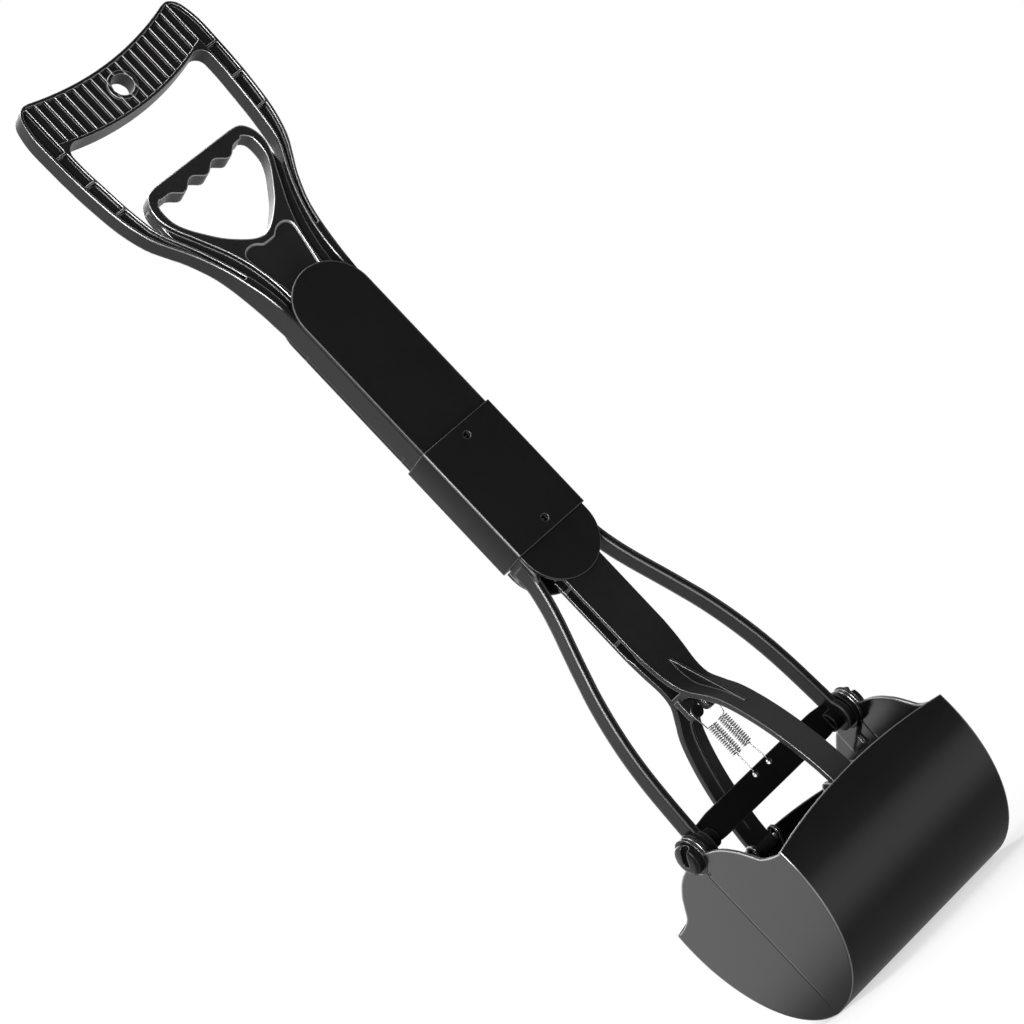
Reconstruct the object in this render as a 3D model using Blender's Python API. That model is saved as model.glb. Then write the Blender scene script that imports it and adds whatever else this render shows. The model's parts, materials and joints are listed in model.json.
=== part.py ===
"""Folding jaw scooper with a D-grip, a squeeze trigger, a double hinge under a lock sleeve and two jaws.

Metres, +Z up. The origin is the centre of the hang hole in the grip. X runs along the jaw pivots,
and -Y is the front, where the lock sleeve has its two detent holes.
"""
import math

import bmesh
import bpy
from mathutils import Vector

# Fits shared by all pieces
GAP = 0.0003
RUNNING_GAP = 0.0005
OVERRUN = 0.004
WELD = 0.000003
SINK = 0.0008

# Grip and legs of the handle frame
GRIP_HALF_WIDTH = 0.0700
GRIP_HALF_DEPTH = 0.0070
GRIP_TOP_RISE = 0.0248
GRIP_TOP_DIP = 0.0085
GRIP_BAR_DROP = 0.0178
GRIP_BAR_ARCH = 0.0088
GRIP_CORNER_REACH = 0.0560
OPENING_HALF_WIDTH = 0.0587
OPENING_CORNER = 0.0075
LEG_FOOT_DEPTH = 0.1800
LEG_RIM_OUTER = 0.0019
LEG_RIM_INNER = 0.0016
LEG_POCKET_DEPTH = 0.0030
LEG_TAPER_START = 0.1080
LEG_TAPER_END = 0.1700
GROOVE_PITCH = 0.00667
GROOVE_WIDTH = 0.0058
GROOVE_DEPTH = 0.0022
GROOVE_RIM = 0.0022
GROOVE_COUNT = 18
HANG_HOLE_RADIUS = 0.0072
HANG_BOSS_RADIUS = 0.0098

# Upper shaft and its covers
SHAFT_HALF_WIDTH = 0.0279
SHAFT_HALF_DEPTH = 0.0135
SHAFT_WALL = 0.0034
SHAFT_WEB = 0.0022
COVER_THICKNESS = 0.0022
COVER_TIP_DEPTH = 0.1575
COVER_FOOT_RISE = 0.0125
WEB_TOP_DEPTH = 0.1900
COVER_SCREW_INSET = 0.0030
COVER_SCREW_RADIUS = 0.0011

# Double hinge
HANDLE_LENGTH = 0.3266
PIN_SPACING = 0.0234
PIN_FORWARD = 0.0025
EAR_RADIUS = 0.0110
EAR_THICKNESS = 0.0064
FLANK_RELIEF = 0.0012
HINGE_PIN_RADIUS = 0.0025
HINGE_PIN_BORE = 0.0010
LINK_HALF_DEPTH = 0.0075
LINK_SLOT_HALF_WIDTH = 0.0075

# Lock sleeve and its detents
SLEEVE_LENGTH = 0.0836
SLEEVE_SKIRT = 0.0220
SLEEVE_SIDE_WALL = 0.0014
SLEEVE_FACE_WALL = 0.0019
SLEEVE_CORNER = 0.0020
DETENT_HOLE_RADIUS = 0.0024
DETENT_INSET = 0.0080
DETENT_OFFSET = 0.0015
DETENT_STUD_RADIUS = 0.0018

# Trigger
TRIGGER_HALF_WIDTH = 0.0455
TRIGGER_HALF_DEPTH = 0.0065
TRIGGER_TOP_DEPTH = 0.0615
TRIGGER_BAR_HEIGHT = 0.0085
TRIGGER_OPENING_HALF_WIDTH = 0.0403
TRIGGER_OPENING_FOOT = 0.1250
TRIGGER_RAIL_HALF_DEPTH = 0.0025
TRIGGER_RAIL_FOOT = 0.1720
FINGER_BUMP_HEIGHT = 0.0050
FINGER_BUMP_PITCH = 0.0193
PAD_HALF_WIDTH = 0.0196
PAD_TOP_DEPTH = 0.1252
PAD_FOOT_DEPTH = 0.1640
PAD_RECESS = 0.0011
STEM_HALF_WIDTH = 0.0142
STEM_HALF_DEPTH = 0.0056
STEM_FOOT_RISE = 0.0085

# Pull strap and its rivets
STRAP_HALF_WIDTH = 0.0050
STRAP_THICKNESS = 0.0012
STRAP_HOLD = 0.0100
STRAP_RIVET_RADIUS = 0.0015

# Lower shaft and fork
LOWER_LENGTH = 0.2190
LOWER_COVER_DROP = 0.0545
LOWER_COVER_HEAD = 0.0070
BACK_STEP = 0.0230
BACK_WALL_LENGTH = 0.0124
BACK_WALL_EASE = 0.0050
BACK_WEB = 0.0026
GUIDE_RIB = 0.0020
GUIDE_RIB_BACK = 0.0050
GUIDE_RIB_FOOT = 0.0085
ARM_THICKNESS = 0.0046
ARM_HALF_DEPTH = 0.0070
ARM_ROOT_DROP = 0.0260
ARM_EAR_RADIUS = 0.0105

# Crossbar and jaw pivots
CROSSBAR_HEIGHT = 0.0185
CROSSBAR_RISE = 0.0130
CROSSBAR_HALF_THICKNESS = 0.0015
CROSSBAR_TAPER = 0.0013
CROSSBAR_TAPER_RUN = 0.0150
CROSSBAR_BARREL_RADIUS = 0.0064
CROSSBAR_BARREL_LENGTH = 0.0070
PIVOT_RADIUS = 0.0030
SPACER_RADIUS = 0.0126
SPACER_LENGTH = 0.0032
PIVOT_CAP_RADIUS = 0.0102
PIVOT_CAP_HEIGHT = 0.0050

# Slider with its two jaw arms
SLIDER_HALF_WIDTH = 0.0152
SLIDER_TOP_DROP = 0.0430
SLIDER_PLATE = 0.0026
SLIDER_WEB = 0.0032
SLIDER_BACK = 0.0076
SLIDER_BACK_HALF_WIDTH = 0.0130
SLIDER_BACK_DROP = 0.0030
SLIDER_RIB = 0.0020
SLIDER_RIB_PITCH = 0.0430
SLIDER_RIB_COUNT = 2
TONGUE_HALF_WIDTH = 0.0070
TONGUE_LENGTH = 0.0140
TONGUE_RISE = 0.0008
TONGUE_HALF_DEPTH = 0.0030
CROTCH_RISE = 0.0720
JAW_ARM_HALF_WIDTH = 0.0085
JAW_ARM_THICKNESS = 0.0044
JAW_ARM_RIDGE_DEPTH = 0.0020
JAW_ARM_RIB_HALF_WIDTH = 0.0008
JAW_ARM_RIDGE_END = 0.0120
SLIDER_TAPER_DROP = 0.0110
CROTCH_BLOCK = 0.0025
CROTCH_FOOT = 0.0070
CROTCH_ARCH = 0.0052
GUSSET_HALF_WIDTH = 0.0009
GUSSET_RISE = 0.0220
GUSSET_REACH = 0.0435
GUSSET_DROP = 0.0265
ARM_PIN_REACH = 0.0655
ARM_PIN_DROP = 0.0280
ARM_PIN_RADIUS = 0.0022
ARM_EYE_RADIUS = 0.0045

# Tension springs and their posts
SPRING_SPACING = 0.0126
SPRING_BODY_SPACING = 0.0092
SPRING_MEAN_RADIUS = 0.0035
SPRING_WIRE_RADIUS = 0.00045
SPRING_COILS = 15
SPRING_PITCH = 0.00155
SPRING_POINTS_PER_COIL = 9
SPRING_END_SHARE = 0.35
SPRING_HOOK_BEND = 0.00135
LOOP_START_DEG = 230
LOOP_END_DEG = -20
SPRING_TOP_LEAD = 0.0118
SPRING_FORWARD = 0.0008
POST_DROP = 0.0122
POST_RADIUS = 0.0017
POST_HUB_RADIUS = 0.0029
POST_HEAD_RADIUS = 0.0041
POST_HEAD_HEIGHT = 0.0012
POST_REACH = 0.0036
BOSS_RADIUS = 0.0042
BOSS_THICKNESS = 0.0052
BOSS_SLOT_RISE = 0.0082
HOOK_HOLE_RADIUS = 0.0017
HOOK_HOLE_RISE = 0.0090

# Jaws
BUCKET_RADIUS = 0.0834
BUCKET_HALF_WIDTH = 0.0749
BUCKET_DROP = 0.0410
JAW_WALL = 0.0022
JAW_RIM_RISE = 0.0100
JAW_RIM_ARCH = 0.0085
JAW_EAR_RADIUS = 0.0120
JAW_EAR_THICKNESS = 0.0020
JAW_EAR_TAB = 0.0280
JAW_EAR_TAB_TOP = 0.0084
JAW_EAR_TAB_FOOT = 0.0240
JAW_EAR_START_DEG = 40
LUG_THICKNESS = 0.0022
LUG_MARGIN = 0.0030
SLOT_TRAVEL = 0.0056
SLOT_CLEARANCE = 0.0007
JAW_RIB_HEIGHT = 0.0030
JAW_RIB_TOP_DEG = 4
JAW_RIB_FOOT_DEG = 74
LUG_ROOT_DEG = 16
LIP_THICKNESS = 0.0042
LIP_HEIGHT = 0.0046

# Fineness of round shapes
CIRCLE_STEPS = 32
SMALL_CIRCLE_STEPS = 16
SHARP_DEG = 35
CURVE_STEPS = 3
BUCKET_STEPS = 30

# Heights worked out from the sizes above
Z_UPPER_PIN = -HANDLE_LENGTH
Z_LOWER_PIN = Z_UPPER_PIN - PIN_SPACING
Z_COVER_FOOT = Z_UPPER_PIN + COVER_FOOT_RISE
Z_LOWER_HEAD = Z_LOWER_PIN - LOWER_COVER_HEAD
Z_LOWER_TIP = Z_LOWER_PIN - LOWER_COVER_DROP
Z_BACK_STEP = Z_LOWER_PIN - BACK_STEP
Z_BACK_FOOT = Z_BACK_STEP - BACK_WALL_LENGTH
Z_SLEEVE_FOOT = Z_LOWER_PIN - SLEEVE_SKIRT
Z_SLEEVE_TOP = Z_SLEEVE_FOOT + SLEEVE_LENGTH
Z_PIVOT = Z_LOWER_PIN - LOWER_LENGTH
Z_BUCKET = Z_PIVOT - BUCKET_DROP
Z_SLIDER_TOP = Z_LOWER_PIN - SLIDER_TOP_DROP
Z_CROTCH = Z_PIVOT + CROTCH_RISE
Z_STEM_FOOT = Z_UPPER_PIN + STEM_FOOT_RISE
Z_TONGUE_TOP = Z_SLIDER_TOP + TONGUE_RISE
Z_POST = Z_CROTCH - POST_DROP
Z_HOOK_HOLE = Z_PIVOT + HOOK_HOLE_RISE
Z_ARM_PIN = Z_PIVOT - ARM_PIN_DROP

# Depths and half widths worked out from the sizes above
WALL_HALF_DEPTH = SHAFT_HALF_DEPTH - COVER_THICKNESS - GAP
CHANNEL_HALF_WIDTH = SHAFT_HALF_WIDTH - SHAFT_WALL
PIN_Y = -PIN_FORWARD
EAR_INNER = SHAFT_HALF_WIDTH - EAR_THICKNESS
STRAP_FRONT = PIN_Y + HINGE_PIN_RADIUS + RUNNING_GAP
STRAP_BACK = STRAP_FRONT + STRAP_THICKNESS
BORE_RADIUS = HINGE_PIN_RADIUS + GAP
BOSS_FRONT = SPRING_WIRE_RADIUS + RUNNING_GAP - SPRING_FORWARD
BOSS_BACK = BOSS_FRONT + BOSS_THICKNESS
SLIDER_FRONT = -WALL_HALF_DEPTH
END_WALL_INNER = BUCKET_HALF_WIDTH - JAW_WALL
INNER_EAR_OUTER = END_WALL_INNER - GAP
INNER_EAR_INNER = INNER_EAR_OUTER - JAW_EAR_THICKNESS
ARM_OUTER = INNER_EAR_INNER - GAP - SPACER_LENGTH - GAP
ARM_INNER = ARM_OUTER - ARM_THICKNESS
ARM_SPAN = (ARM_INNER + ARM_OUTER) / 2
BARREL_OUTER = ARM_INNER - GAP
BARREL_INNER = BARREL_OUTER - CROSSBAR_BARREL_LENGTH
BARREL_FLOOR = BARREL_INNER + 2 * SINK
CAP_INNER = BUCKET_HALF_WIDTH + GAP

# Shares of the grip's extra half width and of the leg's height, from the grip's corner to the foot
LEG_OUTER_SHARES = (
    (0.680, 0.000), (0.790, -0.002), (0.895, 0.014), (0.955, 0.040), (1.000, 0.096), (1.000, 0.165),
    (0.982, 0.262), (0.945, 0.355), (0.875, 0.452), (0.750, 0.536), (0.585, 0.596), (0.418, 0.652),
    (0.224, 0.742), (0.098, 0.844), (0.033, 0.925), (0.000, 1.000),
)
# Shares of the opening's extra half width and of the same height
LEG_INNER_SHARES = (
    (1.000, 0.170), (1.000, 0.228), (0.990, 0.275), (0.955, 0.342), (0.912, 0.424), (0.815, 0.525),
    (0.712, 0.563), (0.455, 0.644), (0.250, 0.728), (0.092, 0.815), (0.005, 0.905), (0.000, 1.000),
)
# Shares of the trigger's half width and of the run from the bar's top to the rail's foot
TRIGGER_OUTER_SHARES = (
    (0.700, 0.000), (0.860, 0.012), (0.960, 0.060), (1.000, 0.125), (0.985, 0.190), (0.910, 0.270),
    (0.815, 0.340), (0.700, 0.430), (0.595, 0.515), (0.500, 0.610), (0.430, 0.710), (0.385, 0.810),
    (0.365, 0.900), (0.360, 1.000),
)
# Shares of the opening's half width and of the run from the bar's underside to the opening's foot
TRIGGER_OPENING_SHARES = (
    (0.860, -0.030), (0.975, 0.040), (1.000, 0.160), (0.975, 0.300), (0.880, 0.440), (0.740, 0.580),
    (0.560, 0.740), (0.340, 0.880), (0.150, 0.970), (0.000, 1.000),
)
# Shares of the pad's half width and height
PAD_SHARES = (
    (0.000, 0.105), (0.240, 0.100), (0.400, 0.040), (0.600, 0.000), (0.830, 0.010), (0.980, 0.080),
    (1.000, 0.190), (0.930, 0.380), (0.840, 0.600), (0.740, 0.820), (0.700, 1.000),
)
# Shares of the fork arm's spread and of its length, from the shaft wall to the jaw pivot
ARM_PATH_SHARES = (
    (0.000, 0.000), (0.000, 0.040), (0.030, 0.085), (0.110, 0.150), (0.215, 0.215), (0.345, 0.285),
    (0.500, 0.370), (0.650, 0.460), (0.780, 0.560), (0.878, 0.662), (0.940, 0.765), (0.980, 0.880),
    (1.000, 0.965), (1.000, 1.000),
)
# Shares of the arm pin's reach and of the run from the crotch to the arm pin
JAW_ARM_SHARES = (
    (0.000, -0.340), (0.000, -0.230), (0.008, -0.100), (0.090, 0.010), (0.275, 0.100), (0.445, 0.185),
    (0.575, 0.285), (0.700, 0.410), (0.810, 0.550), (0.905, 0.710), (0.970, 0.860), (1.000, 1.000),
)
# Shares of the bucket's radius and of the drop from the pivot to the rim's corner
END_WALL_SHARES = (
    (0.200, 0.120), (0.300, 0.177), (0.400, 0.275), (0.480, 0.390), (0.546, 0.500), (0.640, 0.710),
    (0.715, 0.860), (0.857, 0.960), (0.990, 1.000),
)
# Shares of the slider's extra half width over its arms and of the run from its top to the taper's foot
SLIDER_SIDE_SHARES = (
    (1.000, 0.000), (1.000, 0.480), (0.970, 0.570), (0.850, 0.670), (0.620, 0.770), (0.360, 0.860),
    (0.130, 0.940), (0.000, 1.000),
)
# Shares of the leg's height at which cross ribs part the pockets in the legs
LEG_POCKET_SHARES = ((0.186, 0.296), (0.303, 0.414), (0.421, 0.800))
# Share of the same height at which the pocket in the grip's corner ends
CORNER_POCKET_SHARE = 0.179
# Shares of the upper cover's height at which its screws sit
COVER_SCREW_SHARES = (0.220, 0.750)
LEG_SIDE_EASE_SHARES = ((0.000, 0.000), (0.250, 0.100), (0.500, 0.420), (0.750, 0.820), (1.000, 1.000))
CAP_CROWN_SHARES = ((1.000, 0.000), (1.000, 0.550), (0.960, 0.760), (0.860, 0.900), (0.640, 1.000))


def share_points(shares, half_span, offset, top, height):
    """Turn shares into (across, up) points: across from offset, up from top downwards."""
    return [(offset + half_span * across, top - height * down) for across, down in shares]


def smooth(points, steps=CURVE_STEPS):
    """Points on a smooth curve that passes through every given point."""
    padded = [points[0]] + list(points) + [points[-1]]
    result = []
    for index in range(1, len(padded) - 2):
        before, start, end, after = padded[index - 1:index + 3]
        for step in range(steps):
            t = step / steps
            blend = []
            for a, b, c, d in zip(before, start, end, after):
                blend.append(0.5 * (2 * b + (c - a) * t + (2 * a - 5 * b + 4 * c - d) * t ** 2
                                    + (3 * b - 3 * c + d - a) * t ** 3))
            result.append(tuple(blend))
    result.append(tuple(points[-1]))
    return result


def arc(centre, radius, start_deg, end_deg, steps=CIRCLE_STEPS):
    """Points on an arc, ends included."""
    points = []
    for step in range(steps + 1):
        angle = math.radians(start_deg + (end_deg - start_deg) * step / steps)
        points.append((centre[0] + radius * math.cos(angle), centre[1] + radius * math.sin(angle)))
    return points


def circle(centre, radius, steps=CIRCLE_STEPS):
    """Points round a full circle."""
    return arc(centre, radius, 0, 360, steps)[:-1]


def mirrored(right_side):
    """A closed outline from its right side, which runs from top to bottom."""
    left_side = [(-across, up) for across, up in reversed(right_side)]
    return list(right_side) + [point for point in left_side if abs(point[0]) > 0]


def rectangle(low_a, high_a, low_b, high_b):
    return [(low_a, low_b), (high_a, low_b), (high_a, high_b), (low_a, high_b)]


def offset_path(path, distance):
    """The path moved sideways by a distance, to the left of its direction."""
    result = []
    for index, point in enumerate(path):
        before = path[max(index - 1, 0)]
        after = path[min(index + 1, len(path) - 1)]
        along = Vector((after[0] - before[0], after[1] - before[1])).normalized()
        result.append((point[0] - along.y * distance, point[1] + along.x * distance))
    return result


def band(path, thickness):
    """A closed outline of even thickness along a path."""
    return offset_path(path, thickness / 2) + list(reversed(offset_path(path, -thickness / 2)))


def plane_point(axis, across, up, level):
    """A point from outline values in the plane square to an axis."""
    if axis == "X":
        return (level, across, up)
    if axis == "Y":
        return (across, level, up)
    return (across, up, level)


def add_prism(mesh, outline, axis, low, high):
    """Extrude an outline along an axis, into a bmesh."""
    verts = [mesh.verts.new(plane_point(axis, across, up, low)) for across, up in outline]
    face = mesh.faces.new(verts)
    grown = bmesh.ops.extrude_face_region(mesh, geom=[face])
    moved = [item for item in grown["geom"] if isinstance(item, bmesh.types.BMVert)]
    bmesh.ops.translate(mesh, verts=moved, vec=Vector(plane_point(axis, 0, 0, high - low)))


def object_from(mesh, name):
    """Close a bmesh into an object with its faces pointing out."""
    bmesh.ops.remove_doubles(mesh, verts=mesh.verts, dist=WELD)
    bmesh.ops.recalc_face_normals(mesh, faces=mesh.faces)
    data = bpy.data.meshes.new(name)
    mesh.to_mesh(data)
    mesh.free()
    data.shade_smooth()
    data.set_sharp_from_angle(angle=math.radians(SHARP_DEG))
    made = bpy.data.objects.new(name, data)
    bpy.context.scene.collection.objects.link(made)
    return made


def prism(name, outline, axis, low, high):
    mesh = bmesh.new()
    add_prism(mesh, outline, axis, low, high)
    return object_from(mesh, name)


def prisms(name, shapes):
    """Several prisms that don't touch, in one object: each is (outline, axis, low, high)."""
    mesh = bmesh.new()
    for outline, axis, low, high in shapes:
        add_prism(mesh, outline, axis, low, high)
    return object_from(mesh, name)


def turned(name, profile, axis_point, direction, steps=CIRCLE_STEPS):
    """Spin a (radius, along) profile about an X line through axis_point, towards direction (+1 or -1)."""
    mesh = bmesh.new()
    rings = []
    for radius, along in profile:
        ring = []
        for step in range(steps):
            angle = 2 * math.pi * step / steps
            ring.append(mesh.verts.new((direction * along, axis_point[0] + radius * math.cos(angle),
                                        axis_point[1] + radius * math.sin(angle))))
        rings.append(ring)
    for lower, upper in zip(rings, rings[1:]):
        for step in range(steps):
            after = (step + 1) % steps
            mesh.faces.new((lower[step], lower[after], upper[after], upper[step]))
    mesh.faces.new(rings[0])
    mesh.faces.new(rings[-1])
    return object_from(mesh, name)


def combine(target, other, operation):
    """Join, cut or intersect with another object, which is kept as a hidden guide."""
    step = target.modifiers.new(other.name, "BOOLEAN")
    step.operation = operation
    step.object = other
    step.solver = "EXACT"
    other.hide_render = True
    other.display_type = "WIRE"


def cut(target, other):
    combine(target, other, "DIFFERENCE")


def fuse(target, other):
    combine(target, other, "UNION")


def plastic(name, shade, roughness):
    material = bpy.data.materials.new(name)
    material.use_nodes = True
    shader = material.node_tree.nodes["Principled BSDF"]
    shader.inputs["Base Color"].default_value = (shade, shade, shade, 1)
    shader.inputs["Roughness"].default_value = roughness
    return material


def steel(name, shade, roughness):
    material = plastic(name, shade, roughness)
    material.node_tree.nodes["Principled BSDF"].inputs["Metallic"].default_value = 1
    return material


def clear_scene():
    for item in list(bpy.data.objects):
        bpy.data.objects.remove(item, do_unlink=True)


# Where each moving body's empty stands, with the body that carries it
BODY_PLACES = {
    "handle": (None, (0, 0, 0)),
    "pull": ("handle", (0, 0, -TRIGGER_TOP_DEPTH)),
    "sleeve": ("handle", (0, 0, Z_SLEEVE_FOOT)),
    "link": ("handle", (0, PIN_Y, Z_UPPER_PIN)),
    "fork": ("link", (0, PIN_Y, Z_LOWER_PIN)),
    "slide": ("fork", (0, 0, Z_SLIDER_TOP)),
    "front": ("fork", (0, 0, Z_PIVOT)),
    "back": ("fork", (0, 0, Z_PIVOT)),
}
BODIES = {}


def make_bodies():
    for name, (parent, place) in BODY_PLACES.items():
        empty = bpy.data.objects.new(name + "_axis", None)
        bpy.context.scene.collection.objects.link(empty)
        empty.location = place
        if parent:
            empty.parent = BODIES[parent]
            empty.location = Vector(place) - Vector(BODY_PLACES[parent][1])
        BODIES[name] = empty


def mount(piece, body, material):
    """Hang a piece, modelled in world places, on its body's empty, with its origin there."""
    place = Vector(BODY_PLACES[body][1])
    for vertex in piece.data.vertices:
        vertex.co -= place
    piece.parent = BODIES[body]
    piece.data.materials.append(material)


def top_edge(across):
    """Height of the grip's hollow top edge."""
    low = GRIP_TOP_RISE - GRIP_TOP_DIP
    return low + GRIP_TOP_DIP * (across / GRIP_CORNER_REACH) ** 2


def bar_edge(across):
    """Height of the grip bar's arched underside."""
    return -GRIP_BAR_DROP + GRIP_BAR_ARCH * (across / GRIP_CORNER_REACH) ** 2


def leg_height():
    return GRIP_TOP_RISE + LEG_FOOT_DEPTH


def leg_outer():
    spread = GRIP_HALF_WIDTH - SHAFT_HALF_WIDTH
    return smooth(share_points(LEG_OUTER_SHARES, spread, SHAFT_HALF_WIDTH, GRIP_TOP_RISE, leg_height()))


def leg_inner():
    spread = OPENING_HALF_WIDTH - CHANNEL_HALF_WIDTH
    return smooth(share_points(LEG_INNER_SHARES, spread, CHANNEL_HALF_WIDTH, GRIP_TOP_RISE, leg_height()))


def width_at(path, height):
    """Half width of a side path at a height."""
    if height > path[0][1]:
        return path[0][0]
    for (a, high), (b, low) in zip(path, path[1:]):
        if low <= height <= high:
            share = (high - height) / (high - low) if high > low else 0
            return a + (b - a) * share
    return path[-1][0]


def grip_outline():
    """Outline of grip, legs and shaft walls, down to the foot of the covers."""
    side = leg_outer()
    steps = CIRCLE_STEPS // 2
    corner = side[0][0]
    top = [(corner * (2 * step / steps - 1), 0) for step in range(steps + 1)]
    top = [(across, top_edge(across)) for across, _ in top]
    right = side[1:] + [(SHAFT_HALF_WIDTH, Z_COVER_FOOT + GAP)]
    left = [(-across, up) for across, up in reversed(right)]
    return top + right + left


def opening_outline():
    """The hand opening, from the bar's underside down between the legs."""
    reach = OPENING_HALF_WIDTH - OPENING_CORNER
    corner = arc((reach, bar_edge(reach) - OPENING_CORNER), OPENING_CORNER, 90, 0, SMALL_CIRCLE_STEPS // 2)
    steps = CIRCLE_STEPS // 2
    top = [(reach * (2 * step / steps - 1), 0) for step in range(steps)]
    top = [(across, bar_edge(across)) for across, _ in top]
    right = corner + [point for point in leg_inner() if point[1] < corner[-1][1] - RUNNING_GAP]
    left = [(-across, up) for across, up in reversed(right[1:])]
    return top + right + left


def frame_side_outline():
    """Side view of the handle frame: thin at the grip, deeper at the shaft."""
    run = LEG_TAPER_END - LEG_TAPER_START
    extra = WALL_HALF_DEPTH - GRIP_HALF_DEPTH
    right = [(GRIP_HALF_DEPTH, GRIP_TOP_RISE + OVERRUN)]
    for down, out in LEG_SIDE_EASE_SHARES:
        right.append((GRIP_HALF_DEPTH + extra * out, -LEG_TAPER_START - run * down))
    right.append((WALL_HALF_DEPTH, Z_COVER_FOOT - OVERRUN))
    return mirrored(right)


def ear_outline(height, cover_edge, root):
    """Hinge ear in side view: a round end at height, flush at the front, up or down to its root."""
    front = PIN_Y - EAR_RADIUS
    back = PIN_Y + EAR_RADIUS
    downwards = root > height
    half = arc((PIN_Y, height), EAR_RADIUS, 0, -180 if downwards else 180, CIRCLE_STEPS // 2)
    return half + [(front, cover_edge), (-WALL_HALF_DEPTH, cover_edge), (-WALL_HALF_DEPTH, root),
                   (back - FLANK_RELIEF, root)]


def grip_groove(across):
    """Outline of one groove in the grip, which follows both edges of the bar."""
    half = GROOVE_WIDTH / 2
    return [(across - half, bar_edge(across - half) + GROOVE_RIM),
            (across + half, bar_edge(across + half) + GROOVE_RIM),
            (across + half, top_edge(across + half) - GROOVE_RIM),
            (across - half, top_edge(across - half) - GROOVE_RIM)]


def leg_pocket(start_share, end_share, side):
    """Outline of one pocket in a leg, between its two rims."""
    outer_path = leg_outer()
    inner_path = leg_inner()
    height = leg_height()
    steps = SMALL_CIRCLE_STEPS // 2
    outer = []
    inner = []
    for step in range(steps + 1):
        share = start_share + (end_share - start_share) * step / steps
        up = GRIP_TOP_RISE - height * share
        outer.append((side * (width_at(outer_path, up) - LEG_RIM_OUTER), up))
        inner.append((side * (width_at(inner_path, up) + LEG_RIM_INNER), up))
    return outer + list(reversed(inner))


def corner_pocket(side):
    """Outline of the pocket in a corner of the grip, outside the last rib."""
    inner = GROOVE_COUNT / 2 * GROOVE_PITCH + (GROOVE_PITCH - GROOVE_WIDTH) / 2
    top = GRIP_TOP_RISE - GROOVE_RIM
    foot = GRIP_TOP_RISE - leg_height() * CORNER_POCKET_SHARE
    path = leg_outer()
    steps = SMALL_CIRCLE_STEPS // 2
    points = []
    for step in range(steps + 1):
        up = top + (foot - top) * step / steps
        points.append((side * (width_at(path, up) - LEG_RIM_OUTER), up))
    return points + [(side * inner, foot), (side * inner, top)]


def build_handle_frame(material):
    frame = prism("handle_frame", grip_outline(), "Y", -SHAFT_HALF_DEPTH, SHAFT_HALF_DEPTH)
    side = prism("frame_side_view", frame_side_outline(), "X", -GRIP_HALF_WIDTH - OVERRUN,
                 GRIP_HALF_WIDTH + OVERRUN)
    combine(frame, side, "INTERSECT")
    cut(frame, prism("hand_opening", opening_outline(), "Y", -SHAFT_HALF_DEPTH - OVERRUN,
                     SHAFT_HALF_DEPTH + OVERRUN))
    channel = rectangle(-CHANNEL_HALF_WIDTH, CHANNEL_HALF_WIDTH, Z_UPPER_PIN, -LEG_FOOT_DEPTH + OVERRUN)
    cut(frame, prism("shaft_channel", channel, "Y", -WALL_HALF_DEPTH - OVERRUN,
                     WALL_HALF_DEPTH + OVERRUN))
    web = rectangle(-CHANNEL_HALF_WIDTH - SINK, CHANNEL_HALF_WIDTH + SINK, Z_COVER_FOOT + SINK,
                    -WEB_TOP_DEPTH)
    fuse(frame, prism("shaft_web", web, "Y", -WALL_HALF_DEPTH + GAP, -WALL_HALF_DEPTH + GAP + SHAFT_WEB))
    root = Z_COVER_FOOT + COVER_FOOT_RISE
    ear = ear_outline(Z_UPPER_PIN, Z_COVER_FOOT - GAP, root)
    fuse(frame, prisms("upper_ears", [
        (ear, "X", EAR_INNER, SHAFT_HALF_WIDTH), (ear, "X", -SHAFT_HALF_WIDTH, -EAR_INNER)]))
    grooves = []
    for index in range(GROOVE_COUNT):
        across = (index - (GROOVE_COUNT - 1) / 2) * GROOVE_PITCH
        for near, far in ((-GRIP_HALF_DEPTH - OVERRUN, -GRIP_HALF_DEPTH + GROOVE_DEPTH),
                          (GRIP_HALF_DEPTH - GROOVE_DEPTH, GRIP_HALF_DEPTH + OVERRUN)):
            grooves.append((grip_groove(across), "Y", near, far))
    cut(frame, prisms("grip_grooves", grooves))
    outlines = [corner_pocket(side_sign) for side_sign in (-1, 1)]
    for start_share, end_share in LEG_POCKET_SHARES:
        outlines += [leg_pocket(start_share, end_share, side_sign) for side_sign in (-1, 1)]
    floor = GRIP_HALF_DEPTH - LEG_POCKET_DEPTH
    pockets = [(outline, "Y", -SHAFT_HALF_DEPTH, -floor) for outline in outlines]
    pockets += [(outline, "Y", floor, SHAFT_HALF_DEPTH) for outline in outlines]
    cut(frame, prisms("leg_pockets", pockets))
    fuse(frame, prism("hang_boss", circle((0, 0), HANG_BOSS_RADIUS), "Y", -GRIP_HALF_DEPTH + GAP,
                      GRIP_HALF_DEPTH - GAP))
    cut(frame, prism("hang_hole", circle((0, 0), HANG_HOLE_RADIUS), "Y", -GRIP_HALF_DEPTH - OVERRUN,
                     GRIP_HALF_DEPTH + OVERRUN))
    cut(frame, prism("upper_pin_bore", circle((PIN_Y, Z_UPPER_PIN), BORE_RADIUS, SMALL_CIRCLE_STEPS),
                     "X", -SHAFT_HALF_WIDTH - OVERRUN, SHAFT_HALF_WIDTH + OVERRUN))
    cut(frame, prisms("cover_screw_bores", [
        (circle(place, COVER_SCREW_RADIUS + GAP, SMALL_CIRCLE_STEPS), "Y",
         WALL_HALF_DEPTH - COVER_SCREW_INSET, SHAFT_HALF_DEPTH) for place in upper_screw_places()]))
    mount(frame, "handle", material)


def screw_pair(height):
    """Two screw places at a height, centred in the two shaft walls."""
    across = SHAFT_HALF_WIDTH - SHAFT_WALL / 2
    return [(-across, height), (across, height)]


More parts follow.
